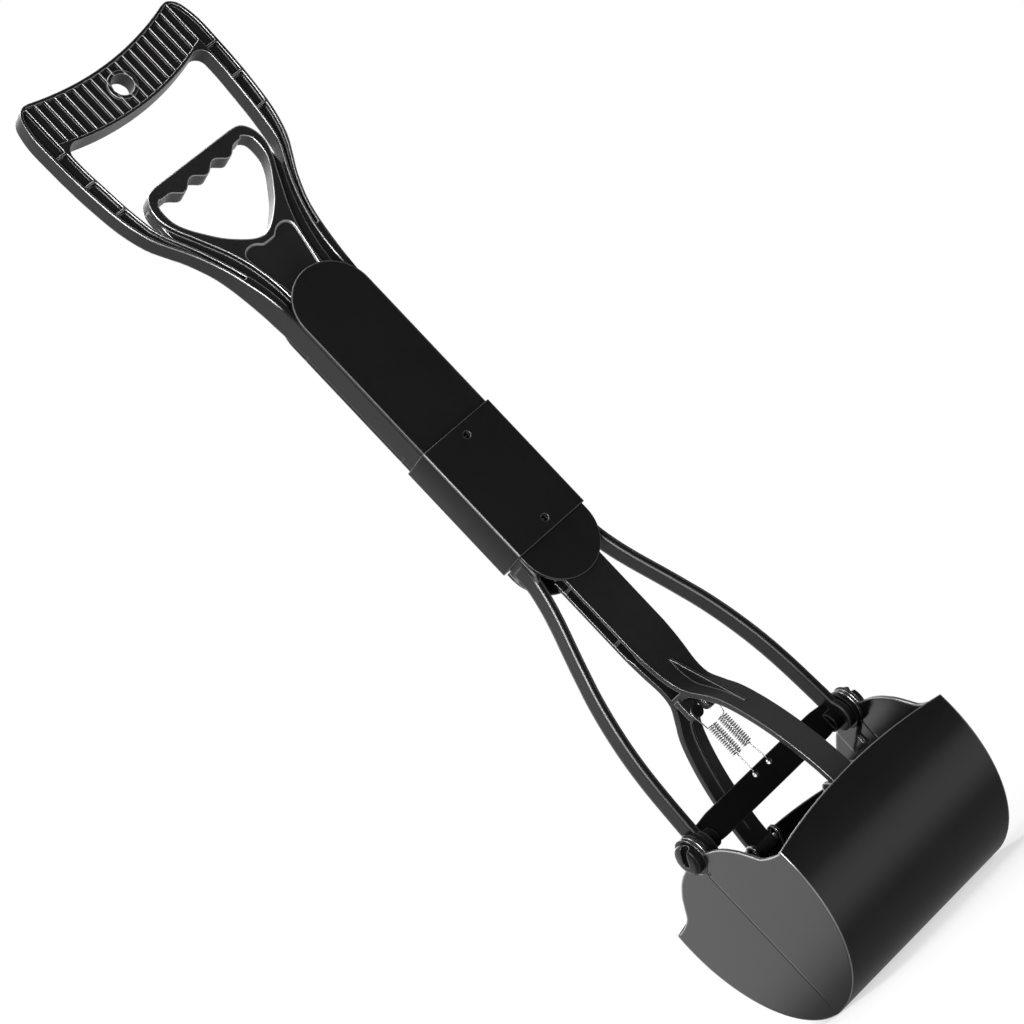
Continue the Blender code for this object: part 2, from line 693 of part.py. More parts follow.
def upper_screw_places():
    height = -COVER_TIP_DEPTH - Z_COVER_FOOT
    return [place for share in COVER_SCREW_SHARES for place in screw_pair(Z_COVER_FOOT + height * share)]


def lower_screw_places():
    return screw_pair((Z_BACK_STEP + Z_BACK_FOOT) / 2)


def build_upper_covers(material):
    tip = -COVER_TIP_DEPTH - SHAFT_HALF_WIDTH
    outline = arc((0, tip), SHAFT_HALF_WIDTH, 0, 180) + [
        (-SHAFT_HALF_WIDTH, Z_COVER_FOOT), (SHAFT_HALF_WIDTH, Z_COVER_FOOT)]
    inner = SHAFT_HALF_DEPTH - COVER_THICKNESS
    front = prism("upper_front_cover", outline, "Y", -SHAFT_HALF_DEPTH, -inner)
    stud = circle((DETENT_OFFSET, Z_SLEEVE_TOP - DETENT_INSET), DETENT_STUD_RADIUS + GAP,
                  SMALL_CIRCLE_STEPS)
    cut(front, prism("upper_stud_hole", stud, "Y", -SHAFT_HALF_DEPTH - OVERRUN, -inner + OVERRUN))
    mount(front, "handle", material)
    back = prism("upper_back_cover", outline, "Y", inner, SHAFT_HALF_DEPTH)
    cut(back, prisms("back_screw_holes", [
        (circle(place, COVER_SCREW_RADIUS + GAP, SMALL_CIRCLE_STEPS), "Y", inner - OVERRUN,
         SHAFT_HALF_DEPTH + OVERRUN) for place in upper_screw_places()]))
    mount(back, "handle", material)


def build_cover_screws(material):
    places = [(place, "handle") for place in upper_screw_places()]
    places += [(place, "fork") for place in lower_screw_places()]
    for number, (place, body) in enumerate(places, start=1):
        screw = prism("cover_screw_%d" % number, circle(place, COVER_SCREW_RADIUS, SMALL_CIRCLE_STEPS), "Y",
                      WALL_HALF_DEPTH - COVER_SCREW_INSET + GAP, SHAFT_HALF_DEPTH - GAP)
        mount(screw, body, material)


def build_hinge(plastic_black, metal):
    ends = (-SHAFT_HALF_WIDTH + GAP, SHAFT_HALF_WIDTH - GAP)
    for name, height, body in (("upper_hinge_pin", Z_UPPER_PIN, "handle"),
                               ("lower_hinge_pin", Z_LOWER_PIN, "fork")):
        pin = prism(name, circle((PIN_Y, height), HINGE_PIN_RADIUS, SMALL_CIRCLE_STEPS), "X", *ends)
        hollow = HINGE_PIN_RADIUS - HINGE_PIN_BORE
        cut(pin, prism(name + "_bore", circle((PIN_Y, height), hollow / 2, SMALL_CIRCLE_STEPS), "X",
                       ends[0] - OVERRUN, ends[1] + OVERRUN))
        mount(pin, body, metal)
    half = LINK_HALF_DEPTH
    outline = arc((PIN_Y, Z_UPPER_PIN), half, 0, 180, CIRCLE_STEPS // 2)
    outline += arc((PIN_Y, Z_LOWER_PIN), half, 180, 360, CIRCLE_STEPS // 2)
    width = EAR_INNER - RUNNING_GAP
    link = prism("hinge_link", outline, "X", -width, width)
    slot = rectangle(STRAP_FRONT - RUNNING_GAP, PIN_Y + half + OVERRUN,
                     Z_LOWER_PIN - half - OVERRUN, Z_UPPER_PIN + half + OVERRUN)
    cut(link, prism("strap_slot", slot, "X", -LINK_SLOT_HALF_WIDTH, LINK_SLOT_HALF_WIDTH))
    bores = [(circle((PIN_Y, height), BORE_RADIUS, SMALL_CIRCLE_STEPS), "X", -width - OVERRUN,
              width + OVERRUN) for height in (Z_UPPER_PIN, Z_LOWER_PIN)]
    cut(link, prisms("link_bores", bores))
    mount(link, "link", plastic_black)


def rounded_rectangle(half_a, half_b, radius):
    """Outline of a rectangle with round corners."""
    points = []
    for sign_a, sign_b, start in ((1, 1, 0), (-1, 1, 90), (-1, -1, 180), (1, -1, 270)):
        centre = (sign_a * (half_a - radius), sign_b * (half_b - radius))
        points += arc(centre, radius, start, start + 90, SMALL_CIRCLE_STEPS // 4)
    return points


def build_lock_sleeve(material):
    inner_width = SHAFT_HALF_WIDTH + GAP
    inner_depth = SHAFT_HALF_DEPTH + GAP
    sleeve = prism("lock_sleeve", rounded_rectangle(inner_width + SLEEVE_SIDE_WALL,
                                                    inner_depth + SLEEVE_FACE_WALL, SLEEVE_CORNER),
                   "Z", Z_SLEEVE_FOOT, Z_SLEEVE_TOP)
    cut(sleeve, prism("sleeve_bore", rectangle(-inner_width, inner_width, -inner_depth, inner_depth),
                      "Z", Z_SLEEVE_FOOT - OVERRUN, Z_SLEEVE_TOP + OVERRUN))
    holes = [(circle((DETENT_OFFSET, height), DETENT_HOLE_RADIUS, SMALL_CIRCLE_STEPS), "Y",
              -SHAFT_HALF_DEPTH - SLEEVE_FACE_WALL - OVERRUN, 0) for height in detent_heights()]
    cut(sleeve, prisms("detent_holes", holes))
    mount(sleeve, "sleeve", material)


def detent_heights():
    return (Z_SLEEVE_TOP - DETENT_INSET, Z_SLEEVE_FOOT + DETENT_INSET)


def build_detent_studs(metal):
    for name, height, body in zip(("upper_detent_stud", "lower_detent_stud"), detent_heights(),
                                  ("handle", "fork")):
        front = -SHAFT_HALF_DEPTH
        stud = prism(name, circle((DETENT_OFFSET, height), DETENT_STUD_RADIUS, SMALL_CIRCLE_STEPS),
                     "Y", front, front + COVER_THICKNESS)
        mount(stud, body, metal)


def trigger_outer():
    """The trigger's side, cut off at the top of its bar."""
    return smooth(share_points(TRIGGER_OUTER_SHARES, TRIGGER_HALF_WIDTH, 0, -TRIGGER_TOP_DEPTH,
                               TRIGGER_RAIL_FOOT - TRIGGER_TOP_DEPTH))


def bumpy_edge(reach):
    """The bar's underside, with three bumps that part four fingers, from left to right."""
    underside = -TRIGGER_TOP_DEPTH - TRIGGER_BAR_HEIGHT
    steps = 2 * CIRCLE_STEPS
    points = []
    for step in range(steps + 1):
        across = reach * (2 * step / steps - 1)
        near = min(abs(across - bump * FINGER_BUMP_PITCH) for bump in (-1, 0, 1))
        height = 0.5 + 0.5 * math.cos(2 * math.pi * min(near / FINGER_BUMP_PITCH, 0.5))
        points.append((across, underside - FINGER_BUMP_HEIGHT * height))
    return points


def trigger_opening():
    underside = -TRIGGER_TOP_DEPTH - TRIGGER_BAR_HEIGHT
    side = smooth(share_points(TRIGGER_OPENING_SHARES, TRIGGER_OPENING_HALF_WIDTH, 0, underside,
                               TRIGGER_OPENING_FOOT + underside))
    top = bumpy_edge(side[0][0])
    right = side[1:]
    left = [(-across, up) for across, up in reversed(right) if across > 0]
    return top[:-1] + [side[0]] + right + left


def rail_outline():
    """The trigger's side rails, which run between the legs."""
    legs = leg_inner()
    points = []
    steps = SMALL_CIRCLE_STEPS
    for step in range(steps + 1):
        up = -TRIGGER_TOP_DEPTH - TRIGGER_BAR_HEIGHT
        up -= (TRIGGER_RAIL_FOOT - TRIGGER_TOP_DEPTH - TRIGGER_BAR_HEIGHT) * step / steps
        plate = width_at(trigger_outer(), up)
        points.append((max(plate, min(width_at(legs, up) - RUNNING_GAP, TRIGGER_HALF_WIDTH)), up))
    return mirrored(points)


def build_trigger(material):
    side = trigger_outer()
    stem = [(STEM_HALF_WIDTH, -TRIGGER_RAIL_FOOT - OVERRUN), (STEM_HALF_WIDTH, Z_STEM_FOOT)]
    plate = prism("trigger", mirrored(side + stem[:1]), "Y", -TRIGGER_HALF_DEPTH, TRIGGER_HALF_DEPTH)
    fuse(plate, prism("trigger_rails", rail_outline(), "Y", -TRIGGER_RAIL_HALF_DEPTH,
                      TRIGGER_RAIL_HALF_DEPTH))
    cut(plate, prism("finger_opening", trigger_opening(), "Y", -TRIGGER_HALF_DEPTH - OVERRUN,
                     TRIGGER_HALF_DEPTH + OVERRUN))
    pad = mirrored(smooth(share_points(PAD_SHARES, PAD_HALF_WIDTH, 0, -PAD_TOP_DEPTH,
                                       PAD_FOOT_DEPTH - PAD_TOP_DEPTH), CURVE_STEPS - 1))
    floor = TRIGGER_HALF_DEPTH - PAD_RECESS
    cut(plate, prisms("thumb_pads", [(pad, "Y", -TRIGGER_HALF_DEPTH - OVERRUN, -floor),
                                     (pad, "Y", floor, TRIGGER_HALF_DEPTH + OVERRUN)]))
    rod = rectangle(-STEM_HALF_WIDTH, STEM_HALF_WIDTH, Z_STEM_FOOT, -TRIGGER_RAIL_FOOT + OVERRUN)
    fuse(plate, prism("stem", rod, "Y", -STEM_HALF_DEPTH, STEM_HALF_DEPTH))
    slot = rectangle(-STRAP_HALF_WIDTH - GAP, STRAP_HALF_WIDTH + GAP, Z_STEM_FOOT - OVERRUN,
                     Z_STEM_FOOT + STRAP_HOLD + GAP)
    cut(plate, prism("stem_slot", slot, "Y", STRAP_FRONT - GAP, STRAP_BACK + GAP))
    rivet = circle((0, Z_STEM_FOOT + STRAP_HOLD / 2), STRAP_RIVET_RADIUS + GAP, SMALL_CIRCLE_STEPS)
    cut(plate, prism("stem_rivet_bore", rivet, "Y", -STEM_HALF_DEPTH - OVERRUN,
                     STEM_HALF_DEPTH + OVERRUN))
    mount(plate, "pull", material)


def build_strap(webbing, metal):
    foot = Z_TONGUE_TOP - STRAP_HOLD
    head = Z_STEM_FOOT + STRAP_HOLD
    strap = prism("pull_strap", rectangle(-STRAP_HALF_WIDTH, STRAP_HALF_WIDTH, foot, head), "Y",
                  STRAP_FRONT, STRAP_BACK)
    heights = (Z_STEM_FOOT + STRAP_HOLD / 2, Z_TONGUE_TOP - STRAP_HOLD / 2)
    cut(strap, prisms("strap_eyes", [
        (circle((0, height), STRAP_RIVET_RADIUS + GAP, SMALL_CIRCLE_STEPS), "Y", STRAP_FRONT - OVERRUN,
         STRAP_BACK + OVERRUN) for height in heights]))
    mount(strap, "pull", webbing)
    for name, height, body, half in (("upper_strap_rivet", heights[0], "pull", STEM_HALF_DEPTH),
                                     ("lower_strap_rivet", heights[1], "slide", TONGUE_HALF_DEPTH)):
        rivet = prism(name, circle((0, height), STRAP_RIVET_RADIUS, SMALL_CIRCLE_STEPS), "Y", -half, half)
        mount(rivet, body, metal)


def arm_path(side):
    """Centre line of a fork arm in the front view."""
    start = SHAFT_HALF_WIDTH - SHAFT_WALL / 2
    top = Z_LOWER_PIN - ARM_ROOT_DROP
    points = smooth(share_points(ARM_PATH_SHARES, ARM_SPAN - start, start, top, top - Z_PIVOT))
    return [(side * across, up) for across, up in points]


def lower_wall_outline():
    """Side view of the lower shaft wall: front behind the cover, back stepped to clear the sleeve."""
    flank = PIN_Y + EAR_RADIUS - FLANK_RELIEF
    foot = ARM_HALF_DEPTH - SINK
    return [(-WALL_HALF_DEPTH, Z_LOWER_HEAD - GAP), (-WALL_HALF_DEPTH, Z_BACK_FOOT),
            (-foot, Z_BACK_FOOT - BACK_WALL_EASE), (foot, Z_BACK_FOOT - BACK_WALL_EASE),
            (WALL_HALF_DEPTH, Z_BACK_FOOT), (WALL_HALF_DEPTH, Z_BACK_STEP), (flank, Z_BACK_STEP),
            (flank, Z_LOWER_PIN - FLANK_RELIEF)]


def build_lower_frame(material):
    root = Z_LOWER_HEAD - COVER_FOOT_RISE / 2
    ear = ear_outline(Z_LOWER_PIN, Z_LOWER_HEAD + GAP, root)
    frame = prisms("lower_frame", [(ear, "X", EAR_INNER, SHAFT_HALF_WIDTH),
                                   (ear, "X", -SHAFT_HALF_WIDTH, -EAR_INNER)])
    wall = lower_wall_outline()
    fuse(frame, prisms("lower_walls", [(wall, "X", CHANNEL_HALF_WIDTH, SHAFT_HALF_WIDTH),
                                       (wall, "X", -SHAFT_HALF_WIDTH, -CHANNEL_HALF_WIDTH)]))
    web = rectangle(-CHANNEL_HALF_WIDTH - SINK, CHANNEL_HALF_WIDTH + SINK, Z_BACK_FOOT + SINK,
                    Z_BACK_STEP - SINK)
    fuse(frame, prism("back_web", web, "Y", WALL_HALF_DEPTH - BACK_WEB, WALL_HALF_DEPTH - GAP))
    fuse(frame, prisms("fork_arms", [(band(arm_path(side), ARM_THICKNESS), "Y", -ARM_HALF_DEPTH,
                                      ARM_HALF_DEPTH) for side in (-1, 1)]))
    disc = circle((0, Z_PIVOT), ARM_EAR_RADIUS)
    fuse(frame, prisms("arm_ears", [(disc, "X", ARM_INNER, ARM_OUTER), (disc, "X", -ARM_OUTER, -ARM_INNER)]))
    cut(frame, prism("lower_pin_bore", circle((PIN_Y, Z_LOWER_PIN), BORE_RADIUS, SMALL_CIRCLE_STEPS),
                     "X", -SHAFT_HALF_WIDTH - OVERRUN, SHAFT_HALF_WIDTH + OVERRUN))
    cut(frame, prisms("lower_screw_bores", [
        (circle(place, COVER_SCREW_RADIUS + GAP, SMALL_CIRCLE_STEPS), "Y",
         WALL_HALF_DEPTH - COVER_SCREW_INSET, SHAFT_HALF_DEPTH) for place in lower_screw_places()]))
    cut(frame, prism("jaw_pivot_bore", circle((0, Z_PIVOT), PIVOT_RADIUS + GAP, SMALL_CIRCLE_STEPS),
                     "X", -ARM_OUTER - OVERRUN, ARM_OUTER + OVERRUN))
    mount(frame, "fork", material)


def build_lower_covers(material):
    tip = arc((0, Z_LOWER_TIP + SHAFT_HALF_WIDTH), SHAFT_HALF_WIDTH, 180, 360)
    outline = tip + [(SHAFT_HALF_WIDTH, Z_LOWER_HEAD), (-SHAFT_HALF_WIDTH, Z_LOWER_HEAD)]
    inner = SHAFT_HALF_DEPTH - COVER_THICKNESS
    front = prism("lower_front_cover", outline, "Y", -SHAFT_HALF_DEPTH, -inner)
    stud = circle((DETENT_OFFSET, Z_SLEEVE_FOOT + DETENT_INSET), DETENT_STUD_RADIUS + GAP,
                  SMALL_CIRCLE_STEPS)
    cut(front, prism("lower_stud_hole", stud, "Y", -SHAFT_HALF_DEPTH - OVERRUN, -inner + OVERRUN))
    rib_inner = SLIDER_HALF_WIDTH + RUNNING_GAP
    rib = rectangle(rib_inner, rib_inner + GUIDE_RIB, Z_LOWER_TIP + GUIDE_RIB_FOOT, Z_LOWER_HEAD - GUIDE_RIB)
    other = [(-across, up) for across, up in rib]
    fuse(front, prisms("guide_ribs", [(shape, "Y", -inner - COVER_THICKNESS / 2, -GUIDE_RIB_BACK)
                                      for shape in (rib, other)]))
    mount(front, "fork", material)
    plate = tip + [(SHAFT_HALF_WIDTH, Z_BACK_STEP), (-SHAFT_HALF_WIDTH, Z_BACK_STEP)]
    back = prism("lower_back_cover", plate, "Y", inner, SHAFT_HALF_DEPTH)
    cut(back, prisms("lower_screw_holes", [
        (circle(place, COVER_SCREW_RADIUS + GAP, SMALL_CIRCLE_STEPS), "Y", inner - OVERRUN,
         SHAFT_HALF_DEPTH + OVERRUN) for place in lower_screw_places()]))
    mount(back, "fork", material)


def crossbar_outline(reach):
    """The crossbar in front view, a little lower towards each arm."""
    top = Z_PIVOT + CROSSBAR_RISE
    upper = []
    for step in range(SMALL_CIRCLE_STEPS // 2 + 1):
        share = step / (SMALL_CIRCLE_STEPS // 2)
        ease = (1 - math.cos(math.pi * share)) / 2
        upper.append((reach - CROSSBAR_TAPER_RUN * (1 - share), top - CROSSBAR_TAPER * ease))
    lower = [(across, 2 * top - CROSSBAR_HEIGHT - up) for across, up in reversed(upper)]
    return mirrored(upper + lower)


def build_crossbar(material):
    bar = prism("crossbar", crossbar_outline(BARREL_OUTER - GAP), "Y", -CROSSBAR_HALF_THICKNESS,
                CROSSBAR_HALF_THICKNESS)
    barrel = circle((0, Z_PIVOT), CROSSBAR_BARREL_RADIUS)
    fuse(bar, prisms("crossbar_barrels", [(barrel, "X", BARREL_INNER, BARREL_OUTER),
                                          (barrel, "X", -BARREL_OUTER, -BARREL_INNER)]))
    bore = circle((0, Z_PIVOT), PIVOT_RADIUS + GAP, SMALL_CIRCLE_STEPS)
    cut(bar, prisms("crossbar_bores", [(bore, "X", BARREL_FLOOR, BARREL_OUTER + OVERRUN),
                                       (bore, "X", -BARREL_OUTER - OVERRUN, -BARREL_FLOOR)]))
    cut(bar, prisms("hook_holes", [
        (circle((side * SPRING_SPACING / 2, Z_HOOK_HOLE), HOOK_HOLE_RADIUS, SMALL_CIRCLE_STEPS), "Y",
         -CROSSBAR_HALF_THICKNESS - OVERRUN, CROSSBAR_HALF_THICKNESS + OVERRUN) for side in (-1, 1)]))
    mount(bar, "fork", material)


def build_pivots(plastic_black):
    for side_name, side in (("left", -1), ("right", 1)):
        profile = [(PIVOT_RADIUS, BARREL_FLOOR + GAP), (PIVOT_RADIUS, CAP_INNER)]
        for across, out in CAP_CROWN_SHARES:
            profile.append((PIVOT_CAP_RADIUS * across, CAP_INNER + PIVOT_CAP_HEIGHT * out))
        mount(turned(side_name + "_pivot_bolt", profile, (0, Z_PIVOT), side), "fork", plastic_black)
        spans = sorted((side * (ARM_OUTER + GAP), side * (INNER_EAR_INNER - GAP)))
        spacer = prism(side_name + "_pivot_spacer", circle((0, Z_PIVOT), SPACER_RADIUS), "X", *spans)
        bore = circle((0, Z_PIVOT), PIVOT_RADIUS + GAP, SMALL_CIRCLE_STEPS)
        cut(spacer, prism(side_name + "_spacer_bore", bore, "X", spans[0] - OVERRUN, spans[1] + OVERRUN))
        mount(spacer, "fork", plastic_black)


def jaw_arm_path(facing):
    """Centre line of a jaw arm in side view: facing is -1 for the front arm and 1 for the back one."""
    surface = SLIDER_BACK if facing > 0 else -SLIDER_FRONT
    start = surface - JAW_ARM_THICKNESS / 2
    points = smooth(share_points(JAW_ARM_SHARES, ARM_PIN_REACH - start, start, Z_CROTCH,
                                 Z_CROTCH - Z_ARM_PIN))
    return [(facing * across, up) for across, up in points]


def strip_outline(facing, surface, top):
    """Side view of a slider plate that runs on into its jaw arm."""
    path = jaw_arm_path(facing)
    outer = offset_path(path, facing * JAW_ARM_THICKNESS / 2)
    inner = offset_path(path, -facing * JAW_ARM_THICKNESS / 2)
    back = surface - facing * SLIDER_PLATE
    step = inner[0][1] + JAW_ARM_THICKNESS
    return [(surface, top)] + outer + inner[::-1] + [(back, step), (back, top)]


def slider_silhouette(half_width, top):
    """Front view of a slider plate and its arm, narrowing smoothly from the one to the other."""
    foot = Z_CROTCH - SLIDER_TAPER_DROP
    side = smooth(share_points(SLIDER_SIDE_SHARES, half_width - JAW_ARM_HALF_WIDTH, JAW_ARM_HALF_WIDTH,
                               top, top - foot), CURVE_STEPS - 1)
    return mirrored([(half_width, top + OVERRUN)] + side[1:]
                    + [(JAW_ARM_HALF_WIDTH, Z_ARM_PIN - ARM_EYE_RADIUS - OVERRUN)])


def crotch_outline():
    """Side view of the solid block where the slider parts into its two arms, with an arch below it."""
    low = Z_CROTCH - CROTCH_FOOT
    high = Z_CROTCH + CROTCH_BLOCK
    sides = []
    for facing in (-1, 1):
        path = jaw_arm_path(facing)
        between = [point for point in path if low < point[1] < high]
        sides.append([(width_at(path, high), high)] + between + [(width_at(path, low), low)])
    front, back = sides
    centre = (front[-1][0] + back[-1][0]) / 2
    half = (back[-1][0] - front[-1][0]) / 2
    steps = SMALL_CIRCLE_STEPS
    arch = []
    for step in range(1, steps):
        share = 2 * step / steps - 1
        arch.append((centre + half * share, low + CROTCH_ARCH * (1 - share ** 2)))
    return front + arch + back[::-1]


def gusset_outline():
    """The straight-edged rib in the bend between the slider's front and the front arm."""
    top = Z_CROTCH + GUSSET_RISE
    foot = Z_CROTCH - GUSSET_DROP
    path = [point for point in jaw_arm_path(-1) if foot < point[1] < top]
    return [(SLIDER_FRONT + GAP, top), (-GUSSET_REACH, foot)] + path[::-1]


def build_slider_plate(name, facing, surface, half_width, top):
    """One slider plate with its jaw arm: the side view cut to the front view."""
    reach = half_width + SINK
    plate = prism(name, strip_outline(facing, surface, top), "X", -reach, reach)
    combine(plate, prism(name + "_silhouette", slider_silhouette(half_width, top), "Y",
                         -ARM_PIN_REACH - OVERRUN, ARM_PIN_REACH + OVERRUN), "INTERSECT")
    return plate


def build_slider(material):
    back_top = Z_SLIDER_TOP - SLIDER_BACK_DROP
    slider = build_slider_plate("slider", -1, SLIDER_FRONT, SLIDER_HALF_WIDTH, Z_SLIDER_TOP)
    fuse(slider, build_slider_plate("slider_back", 1, SLIDER_BACK, SLIDER_BACK_HALF_WIDTH, back_top))
    reach = SLIDER_BACK_HALF_WIDTH + SINK
    block = prism("crotch", crotch_outline(), "X", -reach, reach)
    inset = slider_silhouette(SLIDER_BACK_HALF_WIDTH - GAP, back_top - GAP)
    combine(block, prism("crotch_silhouette", inset, "Y", -ARM_PIN_REACH, ARM_PIN_REACH), "INTERSECT")
    fuse(slider, block)
    web = rectangle(-SLIDER_WEB / 2, SLIDER_WEB / 2, Z_CROTCH + SLIDER_WEB, back_top - SLIDER_BACK_DROP)
    fuse(slider, prism("slider_web", web, "Y", SLIDER_FRONT + SINK, SLIDER_BACK - SINK))
    first = Z_SLIDER_TOP - SLIDER_RIB_PITCH / 4
    rib_reach = SLIDER_BACK_HALF_WIDTH - SINK
    fuse(slider, prisms("slider_ribs", [
        (rectangle(-rib_reach, rib_reach, first - index * SLIDER_RIB_PITCH - SLIDER_RIB,
                   first - index * SLIDER_RIB_PITCH),
         "Y", SLIDER_FRONT + SINK, SLIDER_BACK - SINK) for index in range(SLIDER_RIB_COUNT)]))
    tongue = rectangle(-TONGUE_HALF_WIDTH, TONGUE_HALF_WIDTH, Z_SLIDER_TOP - TONGUE_LENGTH, Z_TONGUE_TOP)
    fuse(slider, prism("slider_tongue", tongue, "Y", -TONGUE_HALF_DEPTH, TONGUE_HALF_DEPTH))
    for name, facing in (("front", -1), ("back", 1)):
        eye = circle((facing * ARM_PIN_REACH, Z_ARM_PIN), ARM_EYE_RADIUS, SMALL_CIRCLE_STEPS)
        fuse(slider, prism(name + "_arm_eye", eye, "X", -JAW_ARM_HALF_WIDTH + GAP,
                           JAW_ARM_HALF_WIDTH - GAP))
    fuse(slider, prism("front_gusset", gusset_outline(), "X", -GUSSET_HALF_WIDTH, GUSSET_HALF_WIDTH))
    for name, facing in (("front", -1), ("back", 1)):
        low = Z_ARM_PIN + JAW_ARM_RIDGE_END
        path = [point for point in jaw_arm_path(facing) if low < point[1] < Z_POST]
        path = offset_path(path, facing * -JAW_ARM_THICKNESS / 2)
        fuse(slider, prism(name + "_arm_ridge", band(path, JAW_ARM_RIDGE_DEPTH), "X", -JAW_ARM_RIB_HALF_WIDTH,
                           JAW_ARM_RIB_HALF_WIDTH))
    fuse(slider, prism("spring_bosses", boss_outline(), "Y", BOSS_FRONT, BOSS_BACK))
    cut(slider, prisms("post_bores", [
        (circle((side * SPRING_SPACING / 2, Z_POST), POST_RADIUS + GAP, SMALL_CIRCLE_STEPS), "Y",
         BOSS_FRONT - OVERRUN, BOSS_BACK + OVERRUN) for side in (-1, 1)]))
    cut(slider, prisms("arm_pin_bores", [
        (circle((facing * ARM_PIN_REACH, Z_ARM_PIN), ARM_PIN_RADIUS + GAP, SMALL_CIRCLE_STEPS), "X",
         -JAW_ARM_HALF_WIDTH - OVERRUN, JAW_ARM_HALF_WIDTH + OVERRUN) for facing in (-1, 1)]))
    slot = rectangle(-STRAP_HALF_WIDTH - GAP, STRAP_HALF_WIDTH + GAP, Z_TONGUE_TOP - STRAP_HOLD - GAP,
                     Z_TONGUE_TOP + OVERRUN)
    cut(slider, prism("tongue_slot", slot, "Y", STRAP_FRONT - GAP, STRAP_BACK + GAP))
    rivet = circle((0, Z_TONGUE_TOP - STRAP_HOLD / 2), STRAP_RIVET_RADIUS + GAP, SMALL_CIRCLE_STEPS)
    cut(slider, prism("tongue_rivet_bore", rivet, "Y", -TONGUE_HALF_DEPTH - OVERRUN,
                      TONGUE_HALF_DEPTH + OVERRUN))
    mount(slider, "slide", material)


def boss_outline():
    """Front view of the two round bosses that hang from the crotch and hold the spring posts."""
    spread = SPRING_SPACING / 2
    slot = spread - BOSS_RADIUS
    root = Z_CROTCH
    left = arc((-spread, Z_POST), BOSS_RADIUS, 180, 360, SMALL_CIRCLE_STEPS)
    gap = arc((0, Z_POST + BOSS_SLOT_RISE - slot), slot, 180, 0, SMALL_CIRCLE_STEPS // 2)
    right = arc((spread, Z_POST), BOSS_RADIUS, 180, 360, SMALL_CIRCLE_STEPS)
    return left + gap + right + [(spread + BOSS_RADIUS, root), (-spread - BOSS_RADIUS, root)]


def build_arm_pins(metal):
    reach = JAW_ARM_HALF_WIDTH + RUNNING_GAP + LUG_THICKNESS + GAP
    for name, facing in (("front_arm_pin", -1), ("back_arm_pin", 1)):
        pin = prism(name, circle((facing * ARM_PIN_REACH, Z_ARM_PIN), ARM_PIN_RADIUS, SMALL_CIRCLE_STEPS),
                    "X", -reach, reach)
        mount(pin, "slide", metal)


def build_spring_posts(metal):
    for side_name, side in (("left", -1), ("right", 1)):
        centre = (side * SPRING_SPACING / 2, Z_POST)
        head_front = BOSS_FRONT - POST_REACH
        name = side_name + "_spring_post"
        post = prism(name, circle(centre, POST_RADIUS, SMALL_CIRCLE_STEPS), "Y",
                     head_front + POST_HEAD_HEIGHT / 2, BOSS_BACK - GAP)
        fuse(post, prism(name + "_hub", circle(centre, POST_HUB_RADIUS, SMALL_CIRCLE_STEPS), "Y",
                         head_front + POST_HEAD_HEIGHT / 2, BOSS_FRONT - GAP))
        fuse(post, prism(name + "_head", circle(centre, POST_HEAD_RADIUS, SMALL_CIRCLE_STEPS), "Y",
                         head_front, head_front + POST_HEAD_HEIGHT))
        mount(post, "slide", metal)


def spring_route(side):
    """Points along one spring: a loop round its post, close coils, and a hook through the crossbar."""
    across = side * SPRING_SPACING / 2
    forward = -SPRING_FORWARD
    body = side * SPRING_BODY_SPACING / 2
    loop_radius = POST_HUB_RADIUS + SPRING_WIRE_RADIUS + GAP
    points = []
    for across_loop, up in arc((0, Z_POST), loop_radius, LOOP_START_DEG, LOOP_END_DEG,
                               SPRING_POINTS_PER_COIL):
        points.append(Vector((across + side * across_loop, forward, up)))
    coil_top = Z_POST - SPRING_TOP_LEAD
    count = SPRING_COILS * SPRING_POINTS_PER_COIL
    for step in range(count + 1):
        turn = step / SPRING_POINTS_PER_COIL
        radius = SPRING_MEAN_RADIUS * min(1, SPRING_COILS - turn + SPRING_END_SHARE)
        angle = 2 * math.pi * turn
        points.append(Vector((body + side * radius * math.cos(angle), forward + radius * math.sin(angle),
                              coil_top - SPRING_PITCH * turn)))
    bend = SPRING_HOOK_BEND
    bar_front = -CROSSBAR_HALF_THICKNESS - GAP - SPRING_WIRE_RADIUS
    points.append(Vector(((across + body) / 2, forward, points[-1].z - bend)))
    points.append(Vector((across, bar_front, Z_PIVOT + CROSSBAR_RISE + bend)))
    points.append(Vector((across, bar_front, Z_HOOK_HOLE + HOOK_HOLE_RADIUS)))
    points.append(Vector((across, bar_front + bend / 2, Z_HOOK_HOLE)))
    points.append(Vector((across, -bar_front - bend / 2, Z_HOOK_HOLE)))
    points.append(Vector((across, -bar_front, Z_HOOK_HOLE + bend / 2)))
    points.append(Vector((across, -bar_front, Z_HOOK_HOLE + HOOK_HOLE_RADIUS + bend)))
    return points


def least_self_gap(points, radius):
    """Least gap between stretches of a tube that aren't neighbours, measured on its points."""
    near = SPRING_POINTS_PER_COIL // 2
    least = SPRING_MEAN_RADIUS
    for index, point in enumerate(points):
        for other in points[index + near:]:
            least = min(least, (point - other).length - 2 * radius)
    return least


